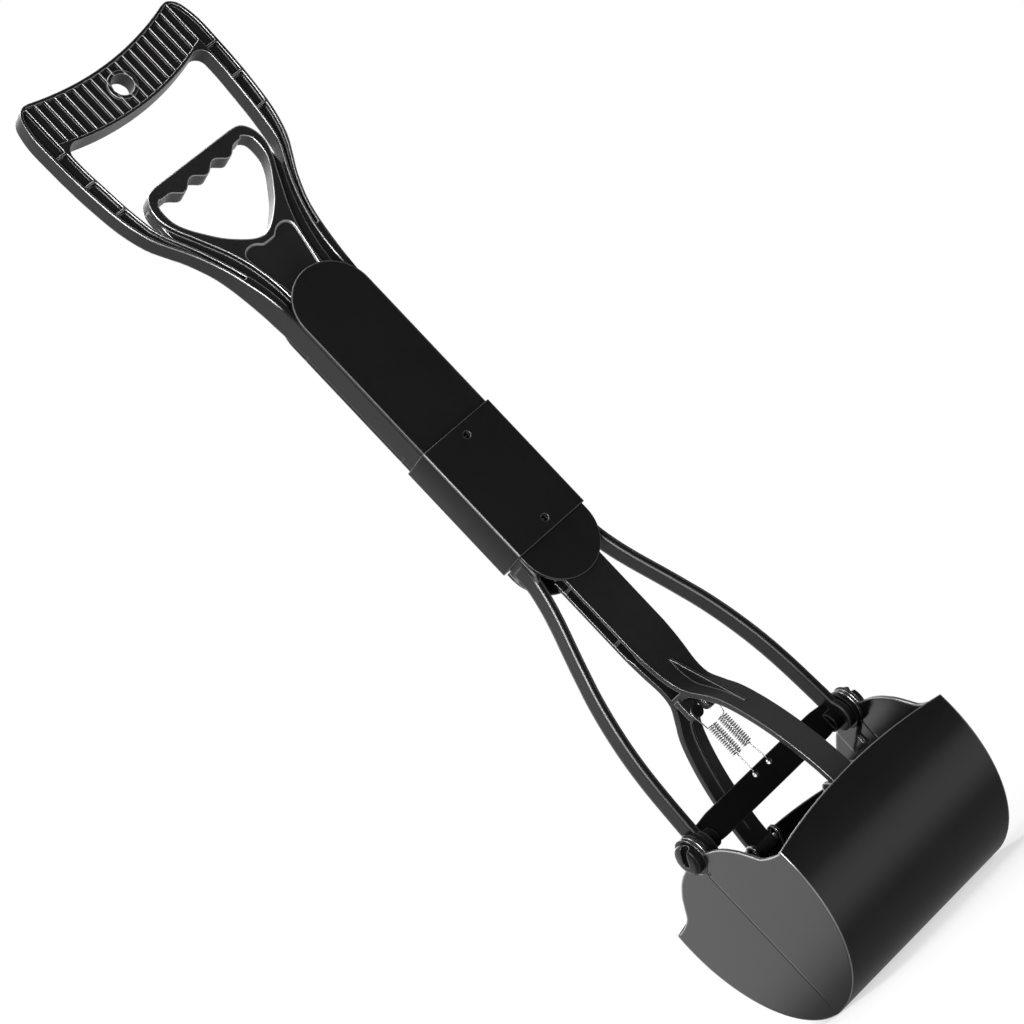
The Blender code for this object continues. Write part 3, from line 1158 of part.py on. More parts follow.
def build_springs(metal):
    for side_name, side in (("left", -1), ("right", 1)):
        points = spring_route(side)
        name = side_name + "_spring"
        print("least gap of", name, "to itself in mm:",
              round(least_self_gap(points, SPRING_WIRE_RADIUS) * 1000, 2))
        curve = bpy.data.curves.new(name, "CURVE")
        curve.dimensions = "3D"
        curve.bevel_depth = SPRING_WIRE_RADIUS
        curve.bevel_resolution = 1
        curve.use_fill_caps = True
        spline = curve.splines.new("POLY")
        spline.points.add(len(points) - 1)
        place = Vector(BODY_PLACES["slide"][1])
        for slot, point in zip(spline.points, points):
            slot.co = (*(point - place), 1)
        spring = bpy.data.objects.new(name, curve)
        bpy.context.scene.collection.objects.link(spring)
        spring.parent = BODIES["slide"]
        curve.materials.append(metal)


def end_wall_outline(facing):
    """One jaw's end wall in side view, between the seam, the hollow top edge and the round wall."""
    rim_drop = BUCKET_DROP - JAW_RIM_RISE
    top = [(across, up) for across, up in smooth(share_points(END_WALL_SHARES, BUCKET_RADIUS, 0, Z_PIVOT,
                                                              rim_drop))]
    inner = BUCKET_RADIUS - JAW_WALL / 2
    corner = math.degrees(math.asin(JAW_RIM_RISE / inner))
    round_side = arc((0, Z_BUCKET), inner, corner, -90, BUCKET_STEPS)
    points = [(GAP / 2, Z_PIVOT)] + top[:-1] + round_side[:-1] + [(GAP / 2, round_side[-1][1])]
    return [(facing * across, up) for across, up in points]


def round_wall_outline(facing):
    """One jaw's round wall in side view, from the seam up to the top of the rim's arch."""
    height = JAW_RIM_RISE + JAW_RIM_ARCH
    outer_end = math.degrees(math.asin(height / BUCKET_RADIUS))
    inner = BUCKET_RADIUS - JAW_WALL
    inner_end = math.degrees(math.asin(height / inner))
    outer_arc = arc((0, Z_BUCKET), BUCKET_RADIUS, outer_end, -90, BUCKET_STEPS)
    inner_arc = arc((0, Z_BUCKET), inner, -90, inner_end, BUCKET_STEPS)
    outer_arc[-1] = (GAP / 2, outer_arc[-1][1])
    inner_arc[0] = (GAP / 2, inner_arc[0][1])
    return [(facing * across, up) for across, up in outer_arc + inner_arc]


def rim_arch_outline():
    """What is cut off above a jaw's arched rim, in front view."""
    low = Z_BUCKET + JAW_RIM_RISE
    steps = CIRCLE_STEPS
    reach = BUCKET_HALF_WIDTH + OVERRUN
    points = []
    for step in range(steps + 1):
        across = reach * (2 * step / steps - 1)
        points.append((across, low + JAW_RIM_ARCH * (1 - (across / reach) ** 2)))
    high = low + JAW_RIM_ARCH + BUCKET_DROP
    return points + [(reach, high), (-reach, high)]


def slot_outline(facing, margin):
    """Radial slot in a jaw's lugs, in side view, in which the arm pin slides."""
    reach = Vector((ARM_PIN_REACH, -ARM_PIN_DROP))
    radial = reach.normalized()
    angle = math.degrees(math.atan2(radial.y, radial.x))
    outer = (reach.x, Z_PIVOT + reach.y)
    inner = (outer[0] - radial.x * SLOT_TRAVEL, outer[1] - radial.y * SLOT_TRAVEL)
    radius = ARM_PIN_RADIUS + margin
    steps = SMALL_CIRCLE_STEPS // 2
    points = arc(outer, radius, angle - 90, angle + 90, steps)
    points += arc(inner, radius, angle + 90, angle + 270, steps)
    return [(facing * across, up) for across, up in points]


def lug_outline(facing):
    """A lug on the round wall, wide at the wall and round at the slot's inner end."""
    radial = Vector((ARM_PIN_REACH, -ARM_PIN_DROP)).normalized()
    angle = math.degrees(math.atan2(radial.y, radial.x))
    margin = ARM_PIN_RADIUS + LUG_MARGIN
    inner = (ARM_PIN_REACH - radial.x * SLOT_TRAVEL, Z_ARM_PIN - radial.y * SLOT_TRAVEL)
    nose = arc(inner, margin, angle + 90, angle + 270, SMALL_CIRCLE_STEPS // 2)
    wall = BUCKET_RADIUS - JAW_WALL / 2
    upper = math.asin(JAW_RIM_RISE / BUCKET_RADIUS)
    lower = math.radians(-LUG_ROOT_DEG)
    root = [(wall * math.cos(lower), Z_BUCKET + wall * math.sin(lower)),
            (wall * math.cos(upper), Z_BUCKET + wall * math.sin(upper))]
    return [(facing * across, up) for across, up in nose + root]


def jaw_rib_outline(facing):
    """A low rib that runs down the inside of the round wall from a lug."""
    outer = BUCKET_RADIUS - JAW_WALL / 2
    inner = BUCKET_RADIUS - JAW_WALL - JAW_RIB_HEIGHT
    outer_arc = arc((0, Z_BUCKET), outer, -JAW_RIB_TOP_DEG, -JAW_RIB_FOOT_DEG, BUCKET_STEPS // 2)
    inner_arc = arc((0, Z_BUCKET), inner, -JAW_RIB_FOOT_DEG, -JAW_RIB_TOP_DEG, BUCKET_STEPS // 2)
    return [(facing * across, up) for across, up in outer_arc + inner_arc]


def lip_outline(facing):
    """The thicker lip along the seam, inside the round wall."""
    foot = Z_BUCKET - BUCKET_RADIUS
    points = [(GAP / 2, foot + JAW_WALL / 2), (LIP_THICKNESS, foot + JAW_WALL / 2),
              (LIP_THICKNESS, foot + LIP_HEIGHT), (GAP / 2, foot + JAW_WALL + LIP_HEIGHT)]
    return [(facing * across, up) for across, up in points]


def build_jaw(name, facing, material):
    """A jaw: round wall, two end walls with pivot ears, lugs with ribs for its arm, and its lip."""
    jaw = prism(name, round_wall_outline(facing), "X", -BUCKET_HALF_WIDTH, BUCKET_HALF_WIDTH)
    cut(jaw, prism(name + "_rim_arch", rim_arch_outline(), "Y",
                   *sorted((facing * BUCKET_DROP, facing * (BUCKET_RADIUS + OVERRUN)))))
    wall = end_wall_outline(facing)
    fuse(jaw, prisms(name + "_end_walls", [(wall, "X", END_WALL_INNER, BUCKET_HALF_WIDTH),
                                           (wall, "X", -BUCKET_HALF_WIDTH, -END_WALL_INNER)]))
    pivot = (0, Z_PIVOT)
    if facing < 0:
        ear = circle(pivot, JAW_EAR_RADIUS)
        fuse(jaw, prisms(name + "_ears", [(ear, "X", END_WALL_INNER, BUCKET_HALF_WIDTH),
                                          (ear, "X", -BUCKET_HALF_WIDTH, -END_WALL_INNER)]))
    else:
        clearance = circle(pivot, JAW_EAR_RADIUS + RUNNING_GAP)
        reach = BUCKET_HALF_WIDTH + OVERRUN
        cut(jaw, prism(name + "_ear_clearance", clearance, "X", -reach, reach))
        tab_top = Z_PIVOT - JAW_EAR_TAB_TOP
        tab_foot = Z_PIVOT - JAW_EAR_TAB_FOOT
        block = rectangle(JAW_EAR_RADIUS + 2 * RUNNING_GAP, JAW_EAR_TAB, tab_foot, tab_top)
        sunk = END_WALL_INNER + JAW_WALL / 2
        fuse(jaw, prisms(name + "_ear_blocks", [(block, "X", INNER_EAR_INNER + GAP, sunk),
                                                (block, "X", -sunk, -INNER_EAR_INNER - GAP)]))
        strap = arc(pivot, JAW_EAR_RADIUS, JAW_EAR_START_DEG, 270, CIRCLE_STEPS) + [
            (JAW_EAR_TAB, tab_foot + GAP), (JAW_EAR_TAB - GAP, tab_top - GAP)]
        fuse(jaw, prisms(name + "_ears", [(strap, "X", INNER_EAR_INNER, INNER_EAR_OUTER),
                                          (strap, "X", -INNER_EAR_OUTER, -INNER_EAR_INNER)]))
    fuse(jaw, prism(name + "_lip", lip_outline(facing), "X", -END_WALL_INNER - SINK, END_WALL_INNER + SINK))
    lug_inner = JAW_ARM_HALF_WIDTH + RUNNING_GAP
    lug_outer = lug_inner + LUG_THICKNESS
    lug = lug_outline(facing)
    fuse(jaw, prisms(name + "_lugs", [(lug, "X", lug_inner, lug_outer), (lug, "X", -lug_outer, -lug_inner)]))
    rib = jaw_rib_outline(facing)
    fuse(jaw, prisms(name + "_ribs", [(rib, "X", lug_inner + GAP, lug_outer - GAP),
                                      (rib, "X", -lug_outer + GAP, -lug_inner - GAP)]))
    cut(jaw, prism(name + "_slots", slot_outline(facing, SLOT_CLEARANCE), "X", -lug_outer - OVERRUN,
                   lug_outer + OVERRUN))
    cut(jaw, prism(name + "_pivot_bore", circle(pivot, PIVOT_RADIUS + GAP, SMALL_CIRCLE_STEPS), "X",
                   -BUCKET_HALF_WIDTH - OVERRUN, BUCKET_HALF_WIDTH + OVERRUN))
    mount(jaw, "front" if facing < 0 else "back", material)


def build_scooper():
    clear_scene()
    make_bodies()
    black = plastic("black_plastic", 0.012, 0.42)
    grey = plastic("jaw_plastic", 0.016, 0.45)
    bright = steel("bright_steel", 0.72, 0.28)
    webbing = plastic("strap_webbing", 0.02, 0.8)
    build_handle_frame(black)
    build_upper_covers(black)
    build_cover_screws(bright)
    build_hinge(black, bright)
    build_lock_sleeve(black)
    build_detent_studs(bright)
    build_trigger(black)
    build_strap(webbing, bright)
    build_lower_frame(black)
    build_lower_covers(black)
    build_crossbar(black)
    build_pivots(black)
    build_slider(black)
    build_arm_pins(bright)
    build_spring_posts(black)
    build_springs(bright)
    build_jaw("front_jaw", -1, grey)
    build_jaw("back_jaw", 1, grey)


build_scooper()
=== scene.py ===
"""Folding jaw scooper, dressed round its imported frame: moulded black plastic and bright steel."""
import json
import math

import bmesh
import bpy
from mathutils import Matrix, Vector, geometry
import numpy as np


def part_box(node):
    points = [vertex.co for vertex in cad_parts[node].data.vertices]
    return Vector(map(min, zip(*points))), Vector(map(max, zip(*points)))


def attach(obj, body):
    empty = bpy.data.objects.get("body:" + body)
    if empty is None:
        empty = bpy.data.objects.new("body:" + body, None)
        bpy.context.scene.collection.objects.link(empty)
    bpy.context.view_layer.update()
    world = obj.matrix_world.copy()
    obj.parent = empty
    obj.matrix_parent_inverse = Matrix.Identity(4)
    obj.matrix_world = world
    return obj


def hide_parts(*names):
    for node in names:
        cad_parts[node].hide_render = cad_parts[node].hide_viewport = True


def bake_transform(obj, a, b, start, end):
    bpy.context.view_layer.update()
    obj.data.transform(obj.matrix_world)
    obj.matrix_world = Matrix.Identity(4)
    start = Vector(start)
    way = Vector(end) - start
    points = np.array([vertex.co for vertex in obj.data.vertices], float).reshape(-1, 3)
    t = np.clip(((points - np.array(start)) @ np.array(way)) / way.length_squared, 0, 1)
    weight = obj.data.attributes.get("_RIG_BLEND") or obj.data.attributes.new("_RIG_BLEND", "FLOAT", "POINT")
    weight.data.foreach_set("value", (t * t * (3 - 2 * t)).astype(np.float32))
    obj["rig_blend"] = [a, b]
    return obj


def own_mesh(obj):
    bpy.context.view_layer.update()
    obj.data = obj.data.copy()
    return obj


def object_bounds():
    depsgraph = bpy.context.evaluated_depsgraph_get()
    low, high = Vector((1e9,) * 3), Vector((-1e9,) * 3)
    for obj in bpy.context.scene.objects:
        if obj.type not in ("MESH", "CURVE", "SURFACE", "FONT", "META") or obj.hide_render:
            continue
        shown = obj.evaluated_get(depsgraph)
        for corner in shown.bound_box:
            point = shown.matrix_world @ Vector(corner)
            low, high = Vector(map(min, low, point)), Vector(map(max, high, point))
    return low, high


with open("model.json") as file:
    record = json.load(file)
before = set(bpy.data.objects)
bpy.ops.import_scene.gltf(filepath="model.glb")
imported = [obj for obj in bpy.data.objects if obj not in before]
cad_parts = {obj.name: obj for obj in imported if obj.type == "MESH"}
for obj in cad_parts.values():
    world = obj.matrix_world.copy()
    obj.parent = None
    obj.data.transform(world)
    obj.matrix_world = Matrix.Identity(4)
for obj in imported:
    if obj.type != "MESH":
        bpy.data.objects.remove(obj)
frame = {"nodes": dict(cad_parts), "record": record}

CAD_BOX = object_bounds()
BODY_OF = {node: body for body, nodes in frame["record"]["behaviour"]["bodies"].items()
           for node in nodes}


# Small helpers for modelling

MERGE_DISTANCE = 0.00002
FLAT_ANGLE = math.radians(1)
SMOOTH_ANGLE = math.radians(36)


def deselect():
    """Leave edit mode with nothing selected."""
    if bpy.context.object and bpy.context.object.mode != "OBJECT":
        bpy.ops.object.mode_set(mode="OBJECT")
    bpy.ops.object.select_all(action="DESELECT")


def pick(piece):
    """Make one piece the only one selected."""
    deselect()
    piece.select_set(True)
    bpy.context.view_layer.objects.active = piece


def copy_of(node, name):
    """A copy of a CAD node with its loose triangles joined up."""
    source = frame["nodes"][node]
    piece = bpy.data.objects.new(name, source.data.copy())
    bpy.context.scene.collection.objects.link(piece)
    pick(piece)
    bpy.ops.object.mode_set(mode="EDIT")
    bpy.ops.mesh.select_all(action="SELECT")
    bpy.ops.mesh.remove_doubles(threshold=MERGE_DISTANCE)
    bpy.ops.mesh.dissolve_limited(angle_limit=FLAT_ANGLE)
    bpy.ops.object.mode_set(mode="OBJECT")
    if piece.data.has_custom_normals:
        bpy.ops.mesh.customdata_custom_splitnormals_clear()
    return piece


def smooth_by_angle():
    """Smooth shading on the picked piece, with its sharp edges kept."""
    bpy.ops.object.shade_smooth_by_angle(angle=SMOOTH_ANGLE)


def settle(piece, body, finish):
    """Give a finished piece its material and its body."""
    piece.data.materials.clear()
    piece.data.materials.append(finish)
    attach(piece, body)


# Rounding of small pieces' edges: the shares are of the room beside an edge that is rounded alone,
# and of the room between two that both are

SHARP_ANGLE = math.radians(40)
ROUNDING_SEGMENTS = 3
SHARE_ALONE = 0.9
SHARE_OF_TWO = 0.45
STRAIGHT_ON = -0.9
ROOM_SLOPE = 0.35
ROOM_SWEEPS = 12


def room_beside(edge, sharp):
    """How wide one edge may be rounded before it meets what lies next to it."""
    room = 1.0
    middle = (edge.verts[0].co + edge.verts[1].co) / 2
    for face in edge.link_faces:
        for other in face.edges:
            if other is edge:
                continue
            corner = next((vert for vert in other.verts if vert in edge.verts), None)
            if corner is None:
                first, last = (vert.co for vert in other.verts)
                share = geometry.intersect_point_line(middle, first, last)[1]
                near = first.lerp(last, min(1, max(0, share)))
                part = SHARE_OF_TWO if other in sharp else SHARE_ALONE
                room = min(room, (near - middle).length * part)
                continue
            along = (edge.other_vert(corner).co - corner.co).normalized()
            end = other.other_vert(corner)
            away = end.co - corner.co
            if other not in sharp or along.dot(away.normalized()) > STRAIGHT_ON:
                shared = any(item in sharp for item in end.link_edges if item is not other)
                part = SHARE_OF_TWO if shared else SHARE_ALONE
                room = min(room, along.cross(away).length * part)
    return room


def even_out(rooms):
    """Let the rounding change only slowly from one edge to the next along a corner."""
    for sweep in range(ROOM_SWEEPS):
        for edge in rooms:
            for vert in edge.verts:
                for other in vert.link_edges:
                    if other in rooms and other is not edge:
                        allowed = rooms[other] + ROOM_SLOPE * edge.calc_length()
                        rooms[edge] = min(rooms[edge], allowed)


def round_edges(piece, width):
    """Round the sharp edges as a mould does, each as far as it has room."""
    shell = bmesh.new()
    shell.from_mesh(piece.data)
    layers = shell.edges.layers.float
    weight = layers.get("bevel_weight_edge") or layers.new("bevel_weight_edge")
    sharp = {edge for edge in shell.edges
             if edge.is_manifold and edge.calc_face_angle(0) > SHARP_ANGLE}
    rooms = {edge: min(width, room_beside(edge, sharp)) for edge in shell.edges if edge in sharp}
    even_out(rooms)
    for edge, room in rooms.items():
        edge[weight] = room / width
    shell.to_mesh(piece.data)
    shell.free()
    pick(piece)
    step = piece.modifiers.new("broken edges", "BEVEL")
    step.width = width
    step.segments = ROUNDING_SEGMENTS
    step.limit_method = "WEIGHT"
    step.use_clamp_overlap = False
    bpy.ops.object.modifier_apply(modifier=step.name)
    smooth_by_angle()
    step = piece.modifiers.new("even shading", "WEIGHTED_NORMAL")
    step.keep_sharp = True
    bpy.ops.object.modifier_apply(modifier=step.name)


# Shader maths as expressions

def feed(tree, slot, item):
    """Link a value to a socket, or set the socket to a plain number, vector or colour."""
    if isinstance(item, Value):
        tree.links.new(item.socket, slot)
    else:
        slot.default_value = item


class Value:
    """One socket that carries a number, a vector, a colour or a shader."""

    def __init__(self, tree, socket):
        self.tree = tree
        self.socket = socket

    def maths(self, operation, *others):
        node = self.tree.nodes.new("ShaderNodeMath")
        node.operation = operation
        for slot, item in zip(node.inputs, (self,) + others):
            feed(self.tree, slot, item)
        return Value(self.tree, node.outputs[0])

    def __add__(self, other):
        return self.maths("ADD", other)

    __radd__ = __add__

    def __sub__(self, other):
        return self.maths("SUBTRACT", other)

    def __rsub__(self, other):
        return self * -1 + other

    def __mul__(self, other):
        return self.maths("MULTIPLY", other)

    __rmul__ = __mul__


class Nodes:
    """A node tree whose nodes are added one by one."""

    def __init__(self, tree):
        self.tree = tree

    def node(self, kind, settings=None, inputs=None, output=0):
        """One node: its settings first, then the values or links of its sockets."""
        made = self.tree.nodes.new("ShaderNode" + kind)
        for key, value in (settings or {}).items():
            setattr(made, key, value)
        for key, value in (inputs or {}).items():
            feed(self.tree, made.inputs[key], value)
        return Value(self.tree, made.outputs[output])

    def parts(self, vector):
        """The three components of a vector."""
        made = self.tree.nodes.new("ShaderNodeSeparateXYZ")
        feed(self.tree, made.inputs[0], vector)
        return [Value(self.tree, item) for item in made.outputs]

    def range(self, value, low, high, out_low, out_high, ease="LINEAR"):
        """Map low..high to out_low..out_high, and hold the ends."""
        return self.node("MapRange", {"clamp": True, "interpolation_type": ease},
                         {"Value": value, "From Min": low, "From Max": high,
                          "To Min": out_low, "To Max": out_high})

    def blend(self, factor, dark, light):
        """Mix two colours."""
        return self.node("Mix", {"data_type": "RGBA"}, {0: factor, 6: dark, 7: light}, output=2)

    def light_path(self, kind):
        return self.node("LightPath", output=kind)

    def mixed(self, factor, first, second):
        """Mix two shaders."""
        return self.node("MixShader", inputs={0: factor, 1: first, 2: second})


class Finish(Nodes):
    """A material built on the shader that Blender gives it."""

    def __init__(self, name):
        self.material = bpy.data.materials.new(name)
        self.material.use_nodes = True
        super().__init__(self.material.node_tree)
        self.shader = self.tree.nodes["Principled BSDF"]

    def place(self):
        return self.node("TexCoord", output="Object")

    def noise(self, scale, detail, rough, stretch=None):
        where = self.place()
        if stretch:
            where = self.node("Mapping", inputs={"Vector": where, "Scale": stretch})
        return self.node("TexNoise", inputs={"Vector": where, "Scale": scale, "Detail": detail,
                                             "Roughness": rough})

    def bump(self, height, strength, distance, under=None):
        inputs = {"Strength": strength, "Distance": distance, "Height": height}
        if under is not None:
            inputs["Normal"] = under
        return self.node("Bump", inputs=inputs)

    def set(self, **sockets):
        for key, item in sockets.items():
            feed(self.tree, self.shader.inputs[key.replace("_", " ")], item)


def grey(value):
    return (value, value, value, 1)


# The heights between which the grip's ribs begin, and the half width of the step to outer edges
RIBS_FOOT = -0.045
RIBS_TOP = -0.022
OUTER_STEP = 0.0003

# How far an edge turns from no painted highlight to its full sheen, and the same for upright corners
SHEEN_SPAN = 0.13
CORNER_START = 0.28
CORNER_FULL = 0.46

# Greys of specks, and of places painted paler for the light that falls there, as shares of the plastic's own
# light grey
SPECK_GREY = 2.2
PAINTED_PALE_GREY = 2.1


def painted_edge_sheen(finish, turned, soft, outer, fade, onset, corners):
    """How much painted highlight each spot carries, from 0 to 1: a metallic sheen on edges that stand out, a
    little uneven.
    """
    deep, height = finish.parts(finish.place())[1:]
    flat = finish.node("NewGeometry", output="True Normal")
    level = finish.node("VectorMath", {"operation": "DOT_PRODUCT"}, {0: turned, 1: flat},
                        output="Value")
    sheen = finish.range(1 - level, onset, onset + SHEEN_SPAN, 0, 1)
    # Painted highlight on round upright corners, picked out by the way their surface faces.
    if corners:
        out_x, out_y = finish.parts(finish.node("TexCoord", output="Normal"))[:2]
        slanted = (out_x * out_y).maths("ABSOLUTE")
        sheen = sheen.maths("MAXIMUM", finish.range(slanted, CORNER_START, CORNER_FULL, 0, 1))
    openness = finish.node("AmbientOcclusion", {"samples": 8}, {"Distance": soft * 1.5},
                           output="AO")
    sheen_noise = finish.noise(scale=60, detail=2, rough=0.5)
    sheen = sheen * finish.range(openness, 0.40, 0.85, 0, 1) * finish.range(sheen_noise, 0.35, 0.65, 0.88, 1)
    # The painted highlight shows only beyond a half depth, and dies away between two heights.
    if outer:
        out = deep.maths("ABSOLUTE")
        sheen = sheen * finish.range(out, outer - OUTER_STEP, outer + OUTER_STEP, 0, 1)
    if fade:
        sheen = sheen * finish.range(height, fade[0], fade[1], 1, fade[2])
    return sheen


def moulded_plastic(name, dark, light, roughness, soft, shine, sheen_grey=0.20, grain=0.05, drift=0.08,
                    edge=1.0, ribs=None, outer=None, fade=None, painted_pale_band=None, onset=0.02,
                    corners=False):
    """Black injection-moulded plastic: fine grain, slow drifts in gloss, a painted metallic sheen on edges
    for highlights.

    dark, light: the greys it drifts between; soft: radius of its edges; shine: index of refraction;
    shiny: grey of the painted highlight, a metallic sheen, on edges; grain: depth of the texture;
    drift: how far the gloss drifts; edge: roughness of an edge with that sheen, as a share of the rest;
    ribs: radius on the grip's ribs; outer: half depth from which edges get the sheen; fade: the two
    heights between which the sheen dies away, and what is left; rubbed: the heights between which the
    colour is painted paler, for light falling there; onset: how far an edge turns before it gets the
    sheen; corners: upright corners that are round get the sheen too, picked by the way they face."""
    finish = Finish(name)
    height = finish.parts(finish.place())[2]
    cloud = finish.noise(scale=16, detail=4, rough=0.6)
    flow = finish.noise(scale=42, detail=3, rough=0.5, stretch=(1, 1, 0.16))
    fine = finish.noise(scale=2600, detail=2, rough=0.5)
    specks = finish.range(finish.noise(scale=900, detail=2, rough=0.6), 0.66, 0.78, 0, 1)
    radius = finish.range(height, RIBS_FOOT, RIBS_TOP, soft, ribs) if ribs else soft
    turned = finish.node("Bevel", {"samples": 16}, {"Radius": radius})
    painted_sheen = painted_edge_sheen(finish, turned, soft, outer, fade, onset, corners)
    tone = finish.range(cloud * 0.65 + flow * 0.35, 0.35, 0.65, 0, 1)
    colour = finish.blend(tone, grey(dark), grey(light))
    colour = finish.blend(specks * 0.25, colour, grey(light * SPECK_GREY))
    # Painted light: between two heights the colour turns paler, for the light that falls there.
    if painted_pale_band:
        pale = finish.range(height, painted_pale_band[0], painted_pale_band[1], 0, 1)
        colour = finish.blend(pale, colour, grey(light * PAINTED_PALE_GREY))
    gloss = finish.range(cloud * 0.5 + fine * 0.5, 0.3, 0.7, roughness - drift, roughness + drift)
    waves = finish.bump(flow, strength=0.05, distance=0.0006, under=turned)
    # Painted highlight: where the sheen is full, the colour turns to a pale grey metal.
    finish.set(Base_Color=finish.blend(painted_sheen, colour, grey(sheen_grey)), Metallic=painted_sheen, IOR=shine,
               Roughness=gloss * (1 + painted_sheen * (edge - 1)),
               Normal=finish.bump(fine, strength=grain, distance=0.0002, under=waves))
    return finish.material


def drawn_steel(name, shade, roughness):
    """Zinc-plated steel with faint draw marks and duller patches."""
    finish = Finish(name)
    streaks = finish.noise(scale=700, detail=3, rough=0.6)
    patches = finish.noise(scale=130, detail=3, rough=0.6)
    tone = finish.range(patches * 0.6 + streaks * 0.4, 0.3, 0.7, 0, 1)
    finish.set(Base_Color=finish.blend(tone, grey(shade * 0.82), grey(shade)), Metallic=1,
               Roughness=finish.range(streaks, 0.3, 0.7, roughness - 0.06, roughness + 0.08),
               Normal=finish.bump(streaks, strength=0.12, distance=0.0001))
    return finish.material


def webbing(name):
    """Woven nylon tape: fine twill across a dark yarn."""
    finish = Finish(name)
    across, along = (
        finish.node("TexWave", {"wave_type": "BANDS", "bands_direction": direction},
                    {"Vector": finish.place(), "Scale": scale, "Distortion": wobble})
        for direction, scale, wobble in (("Z", 260, 0.6), ("X", 420, 0.4)))
    weave = across * along
    finish.set(Base_Color=finish.blend(weave, grey(0.012), grey(0.04)), Roughness=0.8,
               Normal=finish.bump(weave, strength=0.5, distance=0.0003))
    return finish.material


# The edge greys below are painted highlights, a pale metallic sheen on the edges.
handle_black = moulded_plastic(
    "handle_black", dark=0.0085, light=0.0105, roughness=0.34, soft=0.0022, shine=1.19, sheen_grey=0.55,
    ribs=0.0011, fade=(-0.161, -0.169, 0))
trigger_black = moulded_plastic(
    "trigger_black", dark=0.0110, light=0.0140, roughness=0.34, soft=0.0018, shine=1.24, sheen_grey=0.75)
cover_black = moulded_plastic(
    "cover_black", dark=0.0068, light=0.0082, roughness=0.44, soft=0.0022, shine=1.19, grain=0.08,
    edge=1.45, outer=0.0119)
tip_black = moulded_plastic(
    "tip_black", dark=0.0068, light=0.0082, roughness=0.44, soft=0.0014, shine=1.19, sheen_grey=0.16,
    grain=0.08)
# The sleeve's round corners carry a painted highlight as well.
sleeve_black = moulded_plastic(
    "sleeve_black", dark=0.0068, light=0.0082, roughness=0.42, soft=0.0012, shine=1.18, sheen_grey=0.19,
    grain=0.08, corners=True)
fork_black = moulded_plastic(
    "fork_black", dark=0.0078, light=0.0098, roughness=0.34, soft=0.0034, shine=1.19, sheen_grey=0.30,
    edge=1.4, fade=(-0.455, -0.540, 0.25))
# Its lower part is painted paler, for the light that falls there.
slider_black = moulded_plastic(
    "slider_black", dark=0.0090, light=0.0125, roughness=0.34, soft=0.0014, shine=1.22, sheen_grey=0.40,
    painted_pale_band=(-0.492, -0.535), onset=0.09)
bar_black = moulded_plastic(
    "bar_black", dark=0.0028, light=0.0042, roughness=0.36, soft=0.0014, shine=1.22)
cap_black = moulded_plastic(
    "cap_black", dark=0.0050, light=0.0070, roughness=0.24, soft=0.0008, shine=1.26, grain=0.02)
jaw_black = moulded_plastic(
    "jaw_black", dark=0.0040, light=0.0052, roughness=0.20, soft=0.0020, shine=1.55, sheen_grey=0.50,
    grain=0.04, drift=0.04, outer=0.0040)
steel = drawn_steel("zinc_steel", shade=0.72, roughness=0.24)
stud_steel = drawn_steel("blackened_steel", shade=0.22, roughness=0.14)
spring_steel = drawn_steel("spring_wire", shade=0.58, roughness=0.26)
tape = webbing("strap_tape")


# Moulded pieces: the width to which their edges are rounded, and their finish, which alone rounds
# them where the width is 0

MOULDED = {
    "handle_frame": (0, handle_black),
    "upper_front_cover": (0, cover_black),
    "upper_back_cover": (0, cover_black),
    "lock_sleeve": (0, sleeve_black),
    "trigger": (0, trigger_black),
    "lower_frame": (0, fork_black),
    "lower_front_cover": (0, tip_black),
    "lower_back_cover": (0, tip_black),
    "slider": (0, slider_black),
    "crossbar": (0.0004, bar_black),
    "front_jaw": (0, jaw_black),
    "back_jaw": (0, jaw_black),
    "left_pivot_spacer": (0.0005, cap_black),
    "right_pivot_spacer": (0.0005, cap_black),
    "hinge_link": (0.0006, fork_black),
    "left_spring_post": (0.0004, cap_black),
    "right_spring_post": (0.0004, cap_black),
}
for node, (width, finish) in MOULDED.items():
    piece = copy_of(node, node + "_moulded")
    if width:
        round_edges(piece, width)
    else:
        smooth_by_angle()
    settle(piece, BODY_OF[node], finish)
    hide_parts(node)


# Jaw pivots: the capped bolts, each split by a slot from its rim to just past its middle

PIVOT_HEIGHT = -0.569
SLOT_TURN = math.radians(47.6)
SLOT_WIDTH = 0.0052
SLOT_DEPTH = 0.0044
SLOT_LENGTH = 0.0165
SLOT_OFFSET = 0.0045
SLOT_END_RADIUS = SLOT_WIDTH * 0.45


def outer_face(node, side):
    """Where a bolt ends, at the left (side -1) or at the right (side 1)."""
    lo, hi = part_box(node)
    return lo[0] if side < 0 else hi[0]


def slotted_bolt(node, side):
    piece = copy_of(node, node + "_moulded")
    along = Vector((0, -math.sin(SLOT_TURN), math.cos(SLOT_TURN)))
    middle = Vector((outer_face(node, side), 0, PIVOT_HEIGHT)) + along * SLOT_OFFSET
    deselect()
    bpy.ops.mesh.primitive_cube_add(size=1, location=middle, rotation=(SLOT_TURN, 0, 0),
                                    scale=(2 * SLOT_DEPTH, SLOT_WIDTH, SLOT_LENGTH))
    cutter = bpy.context.object
    bpy.ops.object.transform_apply(location=True, rotation=True, scale=True)
    step = cutter.modifiers.new("round ends", "BEVEL")
    step.width = SLOT_END_RADIUS
    step.segments = 4
    bpy.ops.object.modifier_apply(modifier=step.name)
    pick(piece)
    step = piece.modifiers.new("slot", "BOOLEAN")
    step.operation = "DIFFERENCE"
    step.object = cutter
    bpy.ops.object.modifier_apply(modifier=step.name)
    bpy.data.objects.remove(cutter, do_unlink=True)
    pick(piece)
    smooth_by_angle()
    settle(piece, BODY_OF[node], cap_black)
    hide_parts(node)


